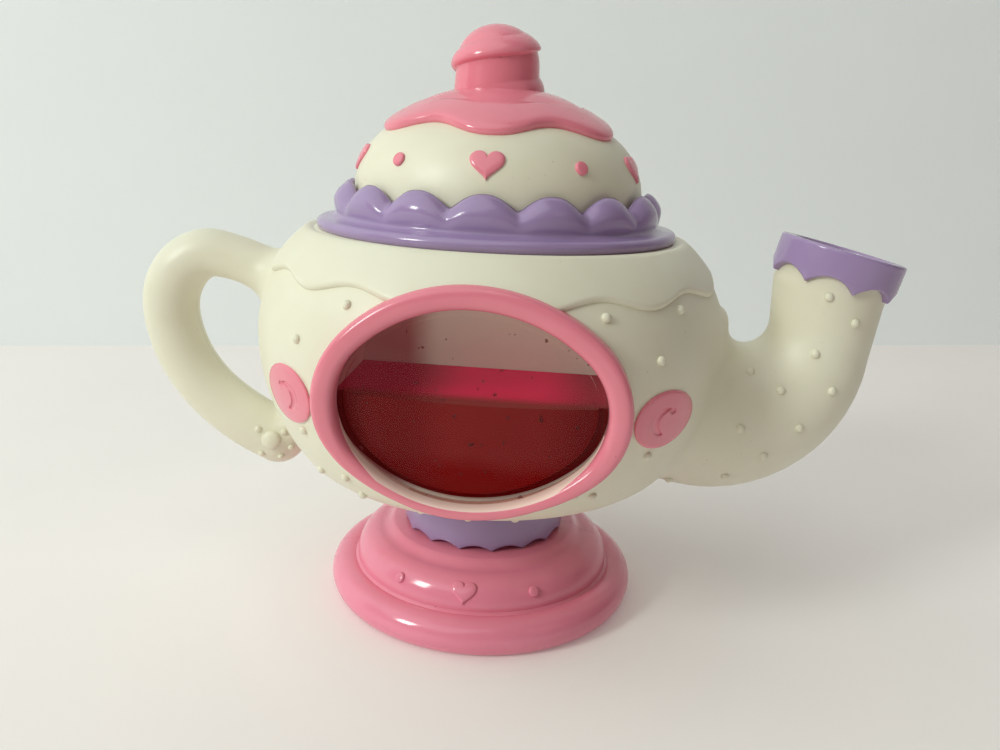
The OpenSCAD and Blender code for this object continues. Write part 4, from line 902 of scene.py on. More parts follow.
@dataclass
class PotBody:
    """The two cream shells with handle and spout, their shoulder icing and their pearls.

    Pearls of the body are azimuth in degrees and height, those of the spout x and z, and those
    under the belly azimuth alone. Beads of the heel are pixels of the photograph and a radius.
    """

    pot: PotField
    voxel: float = 1.5
    wall: float = 2.5
    bottom_z: float = 33.0
    top_z: float = 131.3
    neck_hole_r: float = 24.0
    bore_r: float = 15.9
    window_grow: float = 2.0
    parting: float = 0.09
    grille_z: float = 97.0
    grille_r: float = 1.6
    grille_pitch: float = 6.0
    screw_r: float = 3.3
    screws: tuple = ((62.0, 74.0), (-62.0, 74.0), (56.0, 116.0), (-56.0, 116.0))
    icing_mid_z: float = 119.0
    icing_wave: float = 1.5
    icing_count: int = 13
    icing_step: float = 1.5
    icing_rows: int = 26
    icing_roll: float = 1.3
    icing_ease: float = 1.7
    icing_over: float = 0.45
    pearl_r: float = 1.45
    pearl_flat: float = 0.8
    pearl_high: float = 1.6
    pearl_lift: float = 0.2
    pearl_ring: float = 76.0
    body_pearls: tuple = (
        (-27.1, 116.2), (-44.3, 102.3), (-41.9, 74.9), (-35.1, 65.1), (-27.5, 65.4),
        (-22.8, 61.7), (26.0, 59.8), (28.3, 65.2), (28.1, 116.9), (49.3, 117.1), (44.3, 102.9),
        (42.9, 74.3))
    under_pearls: tuple = (-19.0, -1.0, 16.0, 40.0)
    under_edge: Point2 = (50.0, 47.0)
    heel_beads: tuple = ((271, 440, 3.4), (258, 429, 1.2), (262, 453, 1.2), (281, 456, 1.2),
                         (291, 447, 1.2), (284, 432, 1.1))
    heel_far: float = 290.0
    spout_pearls: tuple = (
        (109.8, 117.7), (119.3, 109.7), (108.2, 98.6), (98.9, 85.3), (115.5, 86.3), (88.0, 91.3),
        (87.4, 70.8), (106.7, 72.6), (96.3, 61.7), (84.3, 53.3), (65.3, 48.8))
    spout_front: float = -14.0

    def rough_form(self) -> Mesh:
        """Blocks out the body, handle and spout and fuses them to one even skin.

        Returns:
            A closed quad mesh close to the pot's skin.
        """
        bm = bmesh.new()
        pot = self.pot
        low = arc((pot.belly_ring, pot.widest_z), pot.belly_r, -89, 0, 40)
        high = arc((pot.shoulder_ring, pot.widest_z), pot.shoulder_r, 2, 89, 30)
        revolve(bm, [(0, low[0][1])] + low + high + [(0, high[-1][1])], 120, False, 1e-3)
        seed = bmesh.new()
        bmesh.ops.create_uvsphere(seed, u_segments=32, v_segments=20, radius=1)
        ball = write_mesh(seed, "ball")
        places = [(x, z, r, r) for x, z, r in pot.line[::2]]
        hx, hz, rx, rz, rr = pot.heel_root
        rod_tool(bm, (hx, 0, hz), (rx, 0, rz), rr, 40)
        rings = np.array(pot.rings)
        for t in np.linspace(2, len(rings) - 2, 60):
            i, f = int(t), t - int(t)
            x, z, _, _, half, deep = rings[i] * (1 - f) + rings[i + 1] * f
            places.append((x, z, half, deep))
        for x, z, half, deep in places:
            placed = ball.copy()
            placed.transform(Matrix.Translation((x, 0, z))
                             @ Matrix.Diagonal((half, deep, half, 1)))
            bm.from_mesh(placed)
            bpy.data.meshes.remove(placed)
        bpy.data.meshes.remove(ball)
        face_out(bm)
        blank = link("pot_blank", write_mesh(bm, "pot_blank"))
        fuse = blank.modifiers.new("fuse", "REMESH")
        fuse.mode, fuse.voxel_size = "VOXEL", self.voxel
        return take(blank)

    def shell(self) -> Mesh:
        """Draws the skin onto the true form and gives it an inner wall.

        Returns:
            A closed hollow shell.
        """
        bm, pot = self.rough_form(), self.pot
        for _ in range(2):
            bmesh.ops.smooth_vert(bm, verts=bm.verts, factor=0.5, use_axis_x=True,
                                  use_axis_y=True, use_axis_z=True)
            at = pot.settle(np.array([v.co for v in bm.verts]), 0.0, 3)
            for v, co in zip(bm.verts, at):
                v.co = co
        inner = bm.copy()
        at = np.array([v.co for v in inner.verts])
        at = pot.settle(at - self.wall * pot.gradient(at), -self.wall, 2)
        for v, co in zip(inner.verts, at):
            v.co = co
        bmesh.ops.reverse_faces(inner, faces=inner.faces)
        absorb(bm, inner)
        return bm

    def openings(self) -> list[Mesh]:
        """Makes the tools for the seat, spout, neck, bore, window, grille and screws.

        Returns:
            The tools, in the order they are used.
        """
        ends, tip, bore, window, backs = (bmesh.new() for _ in range(5))
        far, behind, before_spout = 200, 95, 90
        block_tool(ends, (-far, -far, self.top_z), (before_spout, far, 260))
        block_tool(ends, (-far, -far, -40), (far, far, self.bottom_z))
        ax, az = self.pot.mouth_axis
        mx, mz = self.pot.mouth
        for tool, inner, outer, radius, sides in ((tip, -3, 30, 40, 48),
                                                  (bore, -20, 9, self.bore_r, 64)):
            rod_tool(tool, (mx + inner * ax, 0, mz + inner * az),
                     (mx + outer * ax, 0, mz + outer * az), radius, sides)
        rod_tool(tip, (0, 0, self.bottom_z - 8), (0, 0, self.bottom_z + 9), self.neck_hole_r, 96)
        oval_prism(window, self.window_grow, -behind, -45)
        slim(window)
        grille = [(0, self.grille_z)]
        for lap, count in ((1, 6), (2, 12)):
            reach = lap * self.grille_pitch
            grille += [(reach * math.cos(t), self.grille_z + reach * math.sin(t))
                       for t in ring_steps(count)]
        for spots, radius, depth, sides in ((grille, self.grille_r, 60, 24),
                                            (self.screws, self.screw_r, 12, 32)):
            for x, z in spots:
                rod_tool(backs, (x, depth, z), (x, behind, z), radius, sides)
        return [ends, tip, bore, window, backs]

    def shoulder_icing(self) -> None:
        """Adds the raised icing on the shoulder, with its waved and rounded lower edge."""
        bm = bmesh.new()
        pot, rows = self.pot, self.icing_rows
        blank_r, blank_z = 59, 100
        profile = [(blank_r + 1 + 0.1 * i, blank_z + i) for i in range(rows)]
        revolve(bm, profile + [(blank_r, blank_z + rows - 1), (blank_r, blank_z)], 336)

        def lay(r: float, z: float, turn: float) -> Point2:
            outside = r > blank_r + 0.5
            edge = self.icing_mid_z + self.icing_wave * math.cos(self.icing_count * turn)
            share = (z - blank_z) / (rows - 1)
            height = edge + (self.top_z - edge) * share ** self.icing_ease
            up = min((height - edge) / self.icing_roll, 1.0)
            rise = self.icing_step * math.sqrt(max(0.0, 1 - (1 - up) ** 2)) if outside else -1.0
            reach = math.sqrt(max(pot.shoulder_r ** 2 - (height - pot.widest_z) ** 2, 0.0))
            wide = (pot.shoulder_r + rise) / pot.shoulder_r
            top = pot.widest_z + (height - pot.widest_z) * (wide if outside else 1)
            return pot.shoulder_ring + reach * wide, min(top, self.top_z + self.icing_over)

        bend(bm, lay)
        hand_over(bm, "shoulder_icing", Body.POT, Slot.CREAM, CREAM)

    def pearls(self) -> None:
        """Scatters the small pearls over the belly and spout, and the same on the far side."""
        eye = np.array(EYE.place)
        spots = [(polar(math.radians(turn), self.pearl_ring, z), self.pearl_r)
                 for turn, z in self.body_pearls]
        spots += [((x, self.spout_front, z), self.pearl_r) for x, z in self.spout_pearls]
        spots += [(Vector(EYE.place) + self.heel_far * EYE.ray(x, y), r)
                  for x, y, r in self.heel_beads]
        placed = [(self.pot.seen_at(eye, spot), wide) for spot, wide in spots]
        for turn in self.under_pearls:
            edge = np.array([polar(math.radians(turn), *self.under_edge)])
            placed.append((self.pot.settle(edge, 0.0, 12)[0], self.pearl_r))
        bm = bmesh.new()
        for at, wide in placed:
            high = min(self.pearl_flat * wide, self.pearl_high)
            size = Matrix.Diagonal((wide, wide, high, 1))
            for side in (1, -1):
                place = np.array([at[0], side * at[1], at[2]])
                out = Vector(self.pot.gradient(place[None])[0])
                move = Matrix.Translation(Vector(place) + self.pearl_lift * out)
                bmesh.ops.create_uvsphere(bm, u_segments=20, v_segments=12, radius=1,
                                          matrix=move @ aim(out) @ size)
        hand_over(bm, "pearls", Body.POT, Slot.CREAM, CREAM)

    def build(self) -> None:
        """Builds the shells and what is moulded on them."""
        whole = self.shell()
        for tool in self.openings():
            whole = cut(whole, tool)
        for side, name in ((-1, "body_front_shell"), (1, "body_rear_shell")):
            half = whole.copy()
            split = bmesh.ops.bisect_plane(
                half, geom=half.verts[:] + half.edges[:] + half.faces[:], dist=1e-4,
                plane_co=(0, side * self.parting, 0), plane_no=(0, side, 0), clear_inner=True)
            rim = [g for g in split["geom_cut"] if isinstance(g, bmesh.types.BMEdge)]
            bmesh.ops.triangle_fill(half, use_beauty=True, use_dissolve=False, edges=rim,
                                    normal=(0, -side, 0))
            face_out(half)
            hand_over(half, f"{name}_skin", Body.POT, Slot.CREAM, CREAM, (name,))
        whole.free()
        self.shoulder_icing()
        self.pearls()


@dataclass
class SpoutRim:
    """The lavender band round the spout's mouth, with eight pointed waves."""

    pot: PotField
    outer_r: float = 20.6
    bore_r: float = 15.9
    height: float = 12.6
    wave: float = 3.7
    waves: int = 8
    wave_from: float = 3.0
    sleeve_r: float = 18.6
    seat: float = -4.0
    top_roll: float = 0.9
    phase_deg: float = 4.0

    def build(self) -> None:
        """Builds the band upright, then leans it onto the mouth."""
        bm = bmesh.new()
        roll, outer, inner = self.top_roll, self.outer_r, self.sleeve_r - 0.4
        profile = [(self.bore_r, self.seat), (self.bore_r, -roll)]
        profile += arc((self.bore_r + roll, -roll), roll, 180, 90, 6)[1:]
        profile += arc((outer - roll, -roll), roll, 90, 0, 8)
        profile += [(outer, -roll - (self.height - 2 * roll) * i / 12) for i in range(1, 13)]
        profile += arc((outer - roll, -self.height + roll), roll, 0, -90, 6)[1:]
        profile += [(inner, -self.height), (inner, self.seat)]
        revolve(bm, profile, 192)

        def lay(r: float, z: float, turn: float) -> Point2:
            if r <= self.sleeve_r - 1:
                return r, z
            swing = math.sin(self.waves / 2 * (turn - math.radians(self.phase_deg)))
            share = clamp((-self.wave_from - z) / (self.height - self.wave_from))
            return r, z + abs(swing) ** 0.8 * self.wave * share

        bend(bm, lay)
        ax, az = self.pot.mouth_axis
        lean = Matrix.Rotation(math.atan2(ax, az), 4, "Y")
        move = Matrix.Translation((self.pot.mouth[0], 0, self.pot.mouth[1]))
        bmesh.ops.transform(bm, matrix=move @ lean, verts=bm.verts)
        hand_over(bm, "spout_rim_band", Body.POT, Slot.LAVENDER, LAVENDER, ("spout_rim",))


@dataclass
class Window:
    """The pink bezel of the tea window with its inner lip in a paler pink as painted highlight,
    and the two medallions.
    """

    pot: PotField
    crest_y: float = -74.6
    foot_y: float = -63.8
    lens_y: float = -68.9
    roundness: float = 0.72
    lip_drop: float = 22.0
    lip_fade: float = 16.0
    lip_out: Point2 = (-0.1, 0.5)
    medallion_r: float = 9.4
    medallion_x: float = 55.8
    medallion_z: float = 85.6
    medallion_t: float = 1.2
    curl_deg: Point2 = (-62.0, 150.0)
    curl_r: float = 4.2
    curl_at: Point2 = (-1.0, -0.4)
    curl_wide: Point2 = (0.5, 0.75)
    dot_at: Point2 = (2.2, 2.8)
    groove_depth: float = 0.75

    def bezel(self) -> None:
        """Builds the rounded oval bezel and the lip that lines its lower part, in a paler pink as
        painted highlight.
        """
        bm, lip = bmesh.new(), bmesh.new()
        half, front = BEZEL_HALF, self.crest_y + BEZEL_HALF
        section = [(half * math.copysign(abs(c) ** self.roundness, c),
                    front - half * abs(w) ** self.roundness)
                   for c, w in arc((0, 0), 1.0, 180, 360, 25)]
        section += [(half, self.foot_y), (1.0, self.foot_y), (0.9, self.lens_y),
                    (-half, self.lens_y)]
        oval_ring(bm, section)
        slim(bm)
        hand_over(bm, "window_bezel_ring", Body.POT, Slot.PINK, PINK, ("window_bezel",))
        shown, hidden = self.lip_out
        curve = [(-half, self.lens_y)] + section[:9]
        back = curve[::-1]
        oval_ring(lip, [(o + shown, y) for o, y in curve]
                  + [(o + hidden, y + 0.2) for o, y in back])
        outs, depths = zip(*back)
        for v in lip.verts:
            out, away = oval_out(v.co.x, v.co.z - WINDOW_Z)
            keep = clamp((WINDOW_Z - self.lip_drop - v.co.z) / self.lip_fade + 1)
            outer = out < np.interp(v.co.y, depths, outs)
            v.co.y = self.lens_y + (v.co.y - self.lens_y) * keep
            bare = np.interp(v.co.y, depths, outs)
            v.co += away * (bare + (shown if outer else hidden) - out)
        slim(lip)
        # The lip's paler pink is a painted highlight
        hand_over(lip, "window_lip_painted_highlight", Body.POT, Slot.PINK, PAINTED_HIGHLIGHT_PINK)

    def surface_y(self, x: float, z: float) -> float:
        """Y of the round body's front at a place seen from the front."""
        pot = self.pot
        low = z < pot.widest_z
        ring, r = (pot.belly_ring, pot.belly_r) if low else (pot.shoulder_ring, pot.shoulder_r)
        wide = ring + math.sqrt(max(r ** 2 - (z - pot.widest_z) ** 2, 0))
        return -math.sqrt(max(wide ** 2 - x ** 2, 0))

    def groove(self, u: float, w: float) -> float:
        """How deep the curl or the dot is at a place on the medallion, from nought to one."""
        deep = 1 - math.hypot(u - self.dot_at[0], w - self.dot_at[1]) ** 2
        first, sweep = self.curl_deg
        (cx, cz), (thin, more) = self.curl_at, self.curl_wide
        for t in np.linspace(0, 1, 40):
            turn = math.radians(first + sweep * t)
            gx, gz = cx + self.curl_r * math.cos(turn), cz + self.curl_r * math.sin(turn)
            wide = thin + more * math.sin(math.pi * t) ** 0.7
            deep = max(deep, 1 - (math.hypot(u + gx, w - gz) / wide) ** 2)
        return math.sqrt(max(deep, 0.0))

    def medallion(self, side: int, name: str) -> None:
        """Builds one round medallion with its sunk curl and dot.

        Args:
            side: -1 for the handle's side, 1 for the spout's.
            name: the node that it stands for.
        """
        bm = bmesh.new()
        r, t = self.medallion_r, self.medallion_t
        steps = [(0.86 * i / 40, t) for i in range(41)]
        steps += [(0.92, t * 0.95), (0.965, t * 0.8), (0.99, t * 0.5), (1.0, 0.1), (1.0, -1.5)]
        revolve(bm, [(r * s, h) for s, h in steps], 96, False, axis=(0, 1, 0))
        for v in bm.verts:
            x, z = side * self.medallion_x + v.co.x, self.medallion_z + v.co.z
            sunk = self.groove_depth * self.groove(v.co.x * side, v.co.z)
            v.co = (x, self.surface_y(x, z) - v.co.y + sunk, z)
        face_out(bm)
        hand_over(bm, f"{name}_disc", Body.POT, Slot.PINK, PINK, (name,))

    def build(self) -> None:
        """Builds the bezel and both medallions."""
        self.bezel()
        self.medallion(-1, "left_medallion")
        self.medallion(1, "right_medallion")


@dataclass
class LidCollar:
    """The lavender collar: a rounded flange and a ring of sixteen puffed scallops."""

    flange_r: float = 60.4
    seat_z: float = 131.3
    wall_in: float = 49.25
    wall_out: float = 54.0
    wall_rows: int = 14
    root_z: float = 135.1
    top_z: float = 146.6
    dip: float = 5.0
    lobes: int = 16
    puff: float = 1.0
    tuck: float = 2.4
    valley: float = 0.9

    def build(self) -> None:
        """Builds the collar."""
        bm = bmesh.new()
        root, top, rows = self.root_z, self.top_z, self.wall_rows
        profile = [(self.wall_in, self.seat_z), (self.flange_r - 1.2, self.seat_z)]
        profile += arc((self.flange_r - 2.0, self.seat_z + 1.7), 1.95, -60, 70, 10)
        profile += [(57.6, root - 0.12), (55.6, root + 0.1), (54.5, root + 0.7)]
        profile += [(self.wall_out, root + 1.4 + (top - 1.6 - root - 1.4) * i / rows)
                    for i in range(rows + 1)]
        profile += arc((self.wall_out - 1.7, top - 1.7), 1.7, 10, 90, 7)
        profile += arc((self.wall_in + 1.2, top - 1.2), 1.2, 90, 180, 6)
        profile += [(self.wall_in, root + 4)]
        revolve(bm, profile, 384)
        base = root + 1.0

        def lay(r: float, z: float, turn: float) -> Point2:
            if z < base:
                return r, z
            lobe = min(math.sqrt(math.cos(self.lobes / 2 * turn) ** 2 + 0.012), 1.0)
            share = (z - base) / (top - base)
            height = base + (top - self.dip * (1 - lobe) ** 1.15 - base) * share
            if r < self.wall_in + 1.5:
                return r, height
            swell = self.puff * math.sin(math.pi * min(share * 1.15, 1.0)) * (0.25 + 0.75 * lobe)
            tuck = self.tuck * max(share - 0.45, 0) ** 2 / 0.3
            valley = self.valley * (1 - lobe) ** 2 * share
            return max(r + swell - tuck - valley, self.wall_in + 0.9), height

        bend(bm, lay)
        hand_over(bm, "lid_collar_ring", Body.POT, Slot.LAVENDER, LAVENDER, ("lid_collar",), 50)


def heart_point(turn: float, width: float) -> Point2:
    """A point of a plump heart's outline.

    Args:
        turn: angle round the heart, from its right side.
        width: the heart's width.

    Returns:
        Across and up, from the heart's middle.
    """
    t = math.pi / 2 - turn
    x = 16 * math.sin(t) ** 3
    y = (12.6 * math.cos(t) - 4.6 * math.cos(2 * t) - 2.0 * math.cos(3 * t)
         - 0.8 * math.cos(4 * t))
    return width / 32 * x, width / 32 * (y + 1.6)


def dot_point(turn: float, radius: float) -> Point2:
    """A point of a round dot's outline."""
    return radius * math.cos(turn), radius * math.sin(turn)


# Outline size and height of each step of a pillow's rounded side
PILLOW_STEPS = ((1.0, 0.35), (0.955, 0.66), (0.88, 0.83), (0.76, 0.93), (0.58, 0.985),
                (0.34, 1.0), (0.1, 1.0))


def pillow(bm: Mesh, outline: Callable[[float, float], Point2], size: float, height: float,
           sides: int, place: Callable[[float, float, float], Vector]) -> None:
    """Adds a small raised pillow of any outline, laid on a surface.

    Args:
        bm: the mesh to add to.
        outline: a point of the outline from an angle and the size.
        size: the outline's size.
        height: how far the pillow rises.
        sides: points round the outline.
        place: gives a point in space from across, up and height.
    """
    fresh = bmesh.new()
    bmesh.ops.create_circle(fresh, cap_ends=False, segments=sides, radius=1)
    loop, rim = list(fresh.edges), list(fresh.verts)
    for v in rim:
        v.co = (*outline(math.atan2(v.co.y, v.co.x), size), -0.35)
    last = 1.0
    for share, rise in PILLOW_STEPS:
        grown = bmesh.ops.extrude_edge_only(fresh, edges=loop)["geom"]
        loop = [g for g in grown if isinstance(g, bmesh.types.BMEdge)
                and all(v not in rim for v in g.verts)]
        rim = [g for g in grown if isinstance(g, bmesh.types.BMVert)]
        for v in rim:
            v.co = (v.co.x * share / last, v.co.y * share / last, rise * height)
        last = share
    bmesh.ops.contextual_create(fresh, geom=loop)
    for v in fresh.verts:
        v.co = place(*v.co)
    face_out(fresh)
    absorb(bm, fresh)


def on_ring(turn: float, ring_r: float, ring_z: float, curve_r: float,
            lift_deg: float) -> Callable[..., Vector]:
    """Makes a rule that lays a small shape on a round shoulder.

    Args:
        turn: azimuth of the shape's middle, in radians.
        ring_r: radius of the ring that the shoulder turns about.
        ring_z: height of that ring.
        curve_r: radius of the shoulder.
        lift_deg: angle of the shape's middle above the ring.

    Returns:
        A function of across, up and height that gives the point.
    """
    def place(across: float, up: float, height: float) -> Vector:
        lift = math.radians(lift_deg) + up / curve_r
        at = turn + across / (ring_r + curve_r * math.cos(math.radians(lift_deg)))
        r = ring_r + (curve_r + height) * math.cos(lift)
        return Vector(polar(at, r, ring_z + (curve_r + height) * math.sin(lift)))
    return place


@dataclass
class Lid:
    """The lid's pink hearts, dots, icing and swirled knob; it presses down as one."""

    curve: tuple = (24.0, 144.0, 24.0)
    ornament_deg: float = 26.0
    ornament_count: int = 5
    heart_w: float = 10.4
    dot_r: float = 2.1
    ornament_t: float = 1.0
    icing_r: float = 39.7
    icing_bite: float = 4.7
    icing_lobes: int = 6
    icing_still_r: float = 20.0
    icing_ball: float = 64.8
    icing_ball_z: float = 113.8
    knob_x: float = -2.0
    knob_r: float = 14.0
    knob_flare: float = 1.6
    knob_taper: float = 0.4
    knob_bottom: float = 172.0
    knob_foot: float = 177.5
    knob_crown: float = 184.0
    knob_top: float = 197.4
    ridge: float = 1.7
    ridge_above: float = 4.5
    ridge_below: float = 1.5
    ridge_z: float = 191.2
    ridge_ends: Point2 = (-0.95, 2.55)
    ridge_fade: Point2 = (0.7, 0.9)
    pitch: float = 14.0

    def ornaments(self) -> None:
        """Lays the hearts and dots round the dome."""
        for outline, size, sides, shift, name in (
                (heart_point, self.heart_w, 72, 0.0, "dome_hearts"),
                (dot_point, self.dot_r, 32, 0.5, "dome_dots")):
            bm = bmesh.new()
            for i in range(self.ornament_count):
                turn = math.tau * (i + shift) / self.ornament_count
                pillow(bm, outline, size, self.ornament_t, sides,
                       on_ring(turn, *self.curve, self.ornament_deg))
            hand_over(bm, f"{name}_raised", Body.LID, Slot.PINK, PINK, (name,))

    def icing_z(self, r: float) -> float:
        """Height of the icing's round top at a radius."""
        return self.icing_ball_z + math.sqrt(self.icing_ball ** 2 - r ** 2)

    def icing(self) -> None:
        """Builds the pink icing cap with its thick, drippy edge."""
        bm = bmesh.new()
        ball, edge, still = self.icing_z, self.icing_r, self.icing_still_r
        rim = ball(edge)
        top = [(r, ball(r)) for r in (edge * (0.14 + 0.86 * i / 30) for i in range(28))]
        lip = [(edge - 1.9, ball(edge - 1.9)), (edge - 0.8, ball(edge - 0.8) - 0.15)]
        lip += [(edge - back, rim - drop) for back, drop in (
            (0.2, 0.35), (0.0, 1.0), (0.15, 1.9), (0.8, 2.5), (2.5, 2.2))]
        under = [(30.0, 166.9), (20.0, 167.8), (edge * 0.14, 167.8)]
        revolve(bm, top + lip + under, 288)

        def lay(r: float, z: float, turn: float) -> Point2:
            if r < still:
                return r, z
            bite = (0.5 - 0.5 * math.cos(self.icing_lobes * turn)) ** 1.2
            reach = edge - self.icing_bite * bite
            wide = still + (r - still) * (reach - still) / (edge - still)
            return wide, z - ball(r) + ball(wide) if r > 28 else z

        bend(bm, lay)
        hand_over(bm, "lid_icing_cap", Body.LID, Slot.PINK, PINK, ("lid_icing",), 60)

    def knob_reach(self, z: float) -> float:
        """Radius of the knob's plain form at a height."""
        foot, crown = self.knob_foot, self.knob_crown
        if z < foot:
            return self.knob_r + self.knob_flare * max((foot - z) / 5, 0) ** 2
        if z < crown:
            return self.knob_r - self.knob_taper * (z - foot) / (crown - foot)
        share = min((z - crown) / (self.knob_top - crown), 1.0)
        return (self.knob_r - self.knob_taper) * math.sqrt(max(1 - share ** 2.3, 0.0))

    def ridge_rise(self, z: float, turn: float) -> float:
        """How far the winding ridge stands out at a height and azimuth."""
        grown = 0.0
        (first, last), (ease_in, ease_out) = self.ridge_ends, self.ridge_fade
        for lap in (-1, 0, 1):
            wound = math.pi / 2 - turn + math.tau * lap
            fade = (clamp((wound - math.pi * first) / ease_in)
                    * clamp((last * math.pi - wound) / ease_out))
            off = z - (self.ridge_z - self.pitch * wound / math.tau)
            if off > 0:
                rise = max(0.0, 1 - (off / self.ridge_above) ** 2)
            else:
                rise = max(0.0, 1 - (off / self.ridge_below) ** 2) ** 0.5
            grown = max(grown, fade * self.ridge * rise)
        return grown

    def knob(self) -> None:
        """Builds the soft-serve knob, with one ridge that winds down round it."""
        bm = bmesh.new()
        bottom, steps = self.knob_bottom, 120
        share = [1 - (1 - i / steps) ** 1.6 for i in range(steps)]
        side = [(1.0 + i * 0.001, bottom + (self.knob_top - bottom) * s)
                for i, s in enumerate(share)]
        revolve(bm, [(0.0, bottom)] + side + [(0.0, self.knob_top)], 180, False, 1e-5)

        def lay(r: float, z: float, turn: float) -> Point2:
            return self.knob_reach(z) + self.ridge_rise(z, turn) if r >= 0.5 else 0.0, z

        bend(bm, lay)
        bmesh.ops.translate(bm, vec=(self.knob_x, 0, 0), verts=bm.verts)
        hand_over(bm, "lid_knob_swirl", Body.LID, Slot.PINK, PINK, ("lid_knob",), 70)

    def build(self) -> None:
        """Builds all of the lid's pieces."""
        self.ornaments()
        self.icing()
        self.knob()


@dataclass
class Pedestal:
    """The two pink halves of the stepped base and the lavender neck ring."""

    bead_ring: float = 49.8
    bead_z: float = 5.5
    bead_r: float = 6.2
    tier_low: Point2 = (46.6, 12.0)
    tier_top: Point2 = (38.0, 21.9)
    step_r: float = 33.0
    tier_curve: tuple = (36.6, 12.0, 9.95)
    deck_z: float = 24.5
    wall: float = 2.5
    open_r: float = 46.4
    spigot_r: float = 23.7
    spigot_top: float = 38.0
    seam: float = 0.07
    heart_w: float = 8.6
    heart_lift: float = 35.0
    dot_r: float = 1.75
    dot_lift: float = 33.0
    ornament_t: float = 1.3
    ornament_deg: Point2 = (-2.3, 30.0)
    neck_r: float = 29.2
    neck_low: float = 24.65
    neck_high: float = 39.2
    tips: int = 16
    tip_rise: float = 2.0
    tip_reach: float = 5.0
    inner_curve: tuple = (34.0, 11.5, 9.0)

    def section(self) -> list[Point2]:
        """The base's closed section, from the foot up the outside and down the inside."""
        ring, spigot, deck = self.bead_ring, self.spigot_r, self.deck_z
        under, bore = deck - self.wall, spigot - self.wall
        (low_r, low_z), (top_r, top_z) = self.tier_low, self.tier_top
        out = [(self.open_r, 0.6), (self.open_r + 0.5, 0.0), (ring, 0.0), (ring + 2.3, 0.05)]
        out += arc((ring, self.bead_z), self.bead_r, -58, 112, 30)
        for t in np.linspace(math.pi / 2, 0, 22):
            out.append((top_r + (low_r - top_r) * math.sin(t),
                        low_z + (top_z - low_z) * math.cos(t)))
        out += [(top_r - 0.9, top_z + 0.1), (top_r - 1.8, top_z + 0.4), (top_r - 2.7, top_z + 1.0),
                (top_r - 3.5, deck - 0.85), (top_r - 4.3, deck - 0.2)]
        out += [(self.step_r, deck), (spigot, deck), (spigot, self.spigot_top),
                (bore, self.spigot_top), (bore, under), (self.step_r, under)]
        inner_r, inner_z, inner_bend = self.inner_curve
        out += arc((inner_r, inner_z), inner_bend, 80, 4, 14)
        return out + arc((ring, self.bead_z), self.bead_r - 2.3, 100, 178, 8)

    def half(self, side: int, name: str) -> None:
        """Builds one half of the base with its heart and dots.

        Args:
            side: -1 for the front, 1 for the rear.
            name: the node that it stands for.
        """
        bm = bmesh.new()
        rim = [bm.verts.new((r, 0, z)) for r, z in self.section()]
        edges = [bm.edges.new(pair) for pair in zip(rim, rim[1:] + rim[:1])]
        bm.faces.new(rim)
        spun = bmesh.ops.spin(bm, geom=rim + edges, cent=(0, 0, 0), axis=(0, 0, side),
                              angle=math.pi, steps=120)
        last = [g for g in spun["geom_last"] if isinstance(g, bmesh.types.BMEdge)]
        bmesh.ops.contextual_create(bm, geom=last)
        face_out(bm)
        bmesh.ops.translate(bm, vec=(0, side * self.seam, 0), verts=bm.verts)
        facing = 0.0 if side < 0 else math.pi
        middle, spread = (math.radians(a) for a in self.ornament_deg)
        pillow(bm, heart_point, self.heart_w, self.ornament_t, 64,
               on_ring(facing + middle, *self.tier_curve, self.heart_lift))
        for turn in (middle - spread, middle + spread):
            pillow(bm, dot_point, self.dot_r, self.ornament_t, 28,
                   on_ring(facing + turn, *self.tier_curve, self.dot_lift))
        hand_over(bm, f"{name}_tiers", Body.POT, Slot.PINK, BASE_PINK, (name,))

    def neck(self) -> None:
        """Builds the neck ring with its pointed lower edge."""
        bm = bmesh.new()
        r, low, high, inner = self.neck_r, self.neck_low, self.neck_high, self.spigot_r + 0.4
        profile = [(inner, low + 1.5), (r - 0.8, low), (r - 0.2, low + 0.2)]
        profile += [(r, low + 0.7 + (high - low - 1.2) * i / 12) for i in range(13)]
        revolve(bm, profile + [(r - 0.3, high), (inner, high)], 256)

        def lay(r: float, z: float, turn: float) -> Point2:
            swing = math.sin(self.tips / 2 * (turn + math.pi / self.tips))
            share = max(1 - (z - low) / self.tip_reach, 0)
            return r, z + self.tip_rise * abs(swing) ** 0.9 * share if r > inner + 0.6 else z

        bend(bm, lay)
        hand_over(bm, "neck_ring_scalloped", Body.POT, Slot.LAVENDER, LAVENDER, ("neck_ring",))

    def build(self) -> None:
        """Builds the base and neck."""
        self.half(-1, "base_front_half")
        self.half(1, "base_rear_half")
        self.neck()


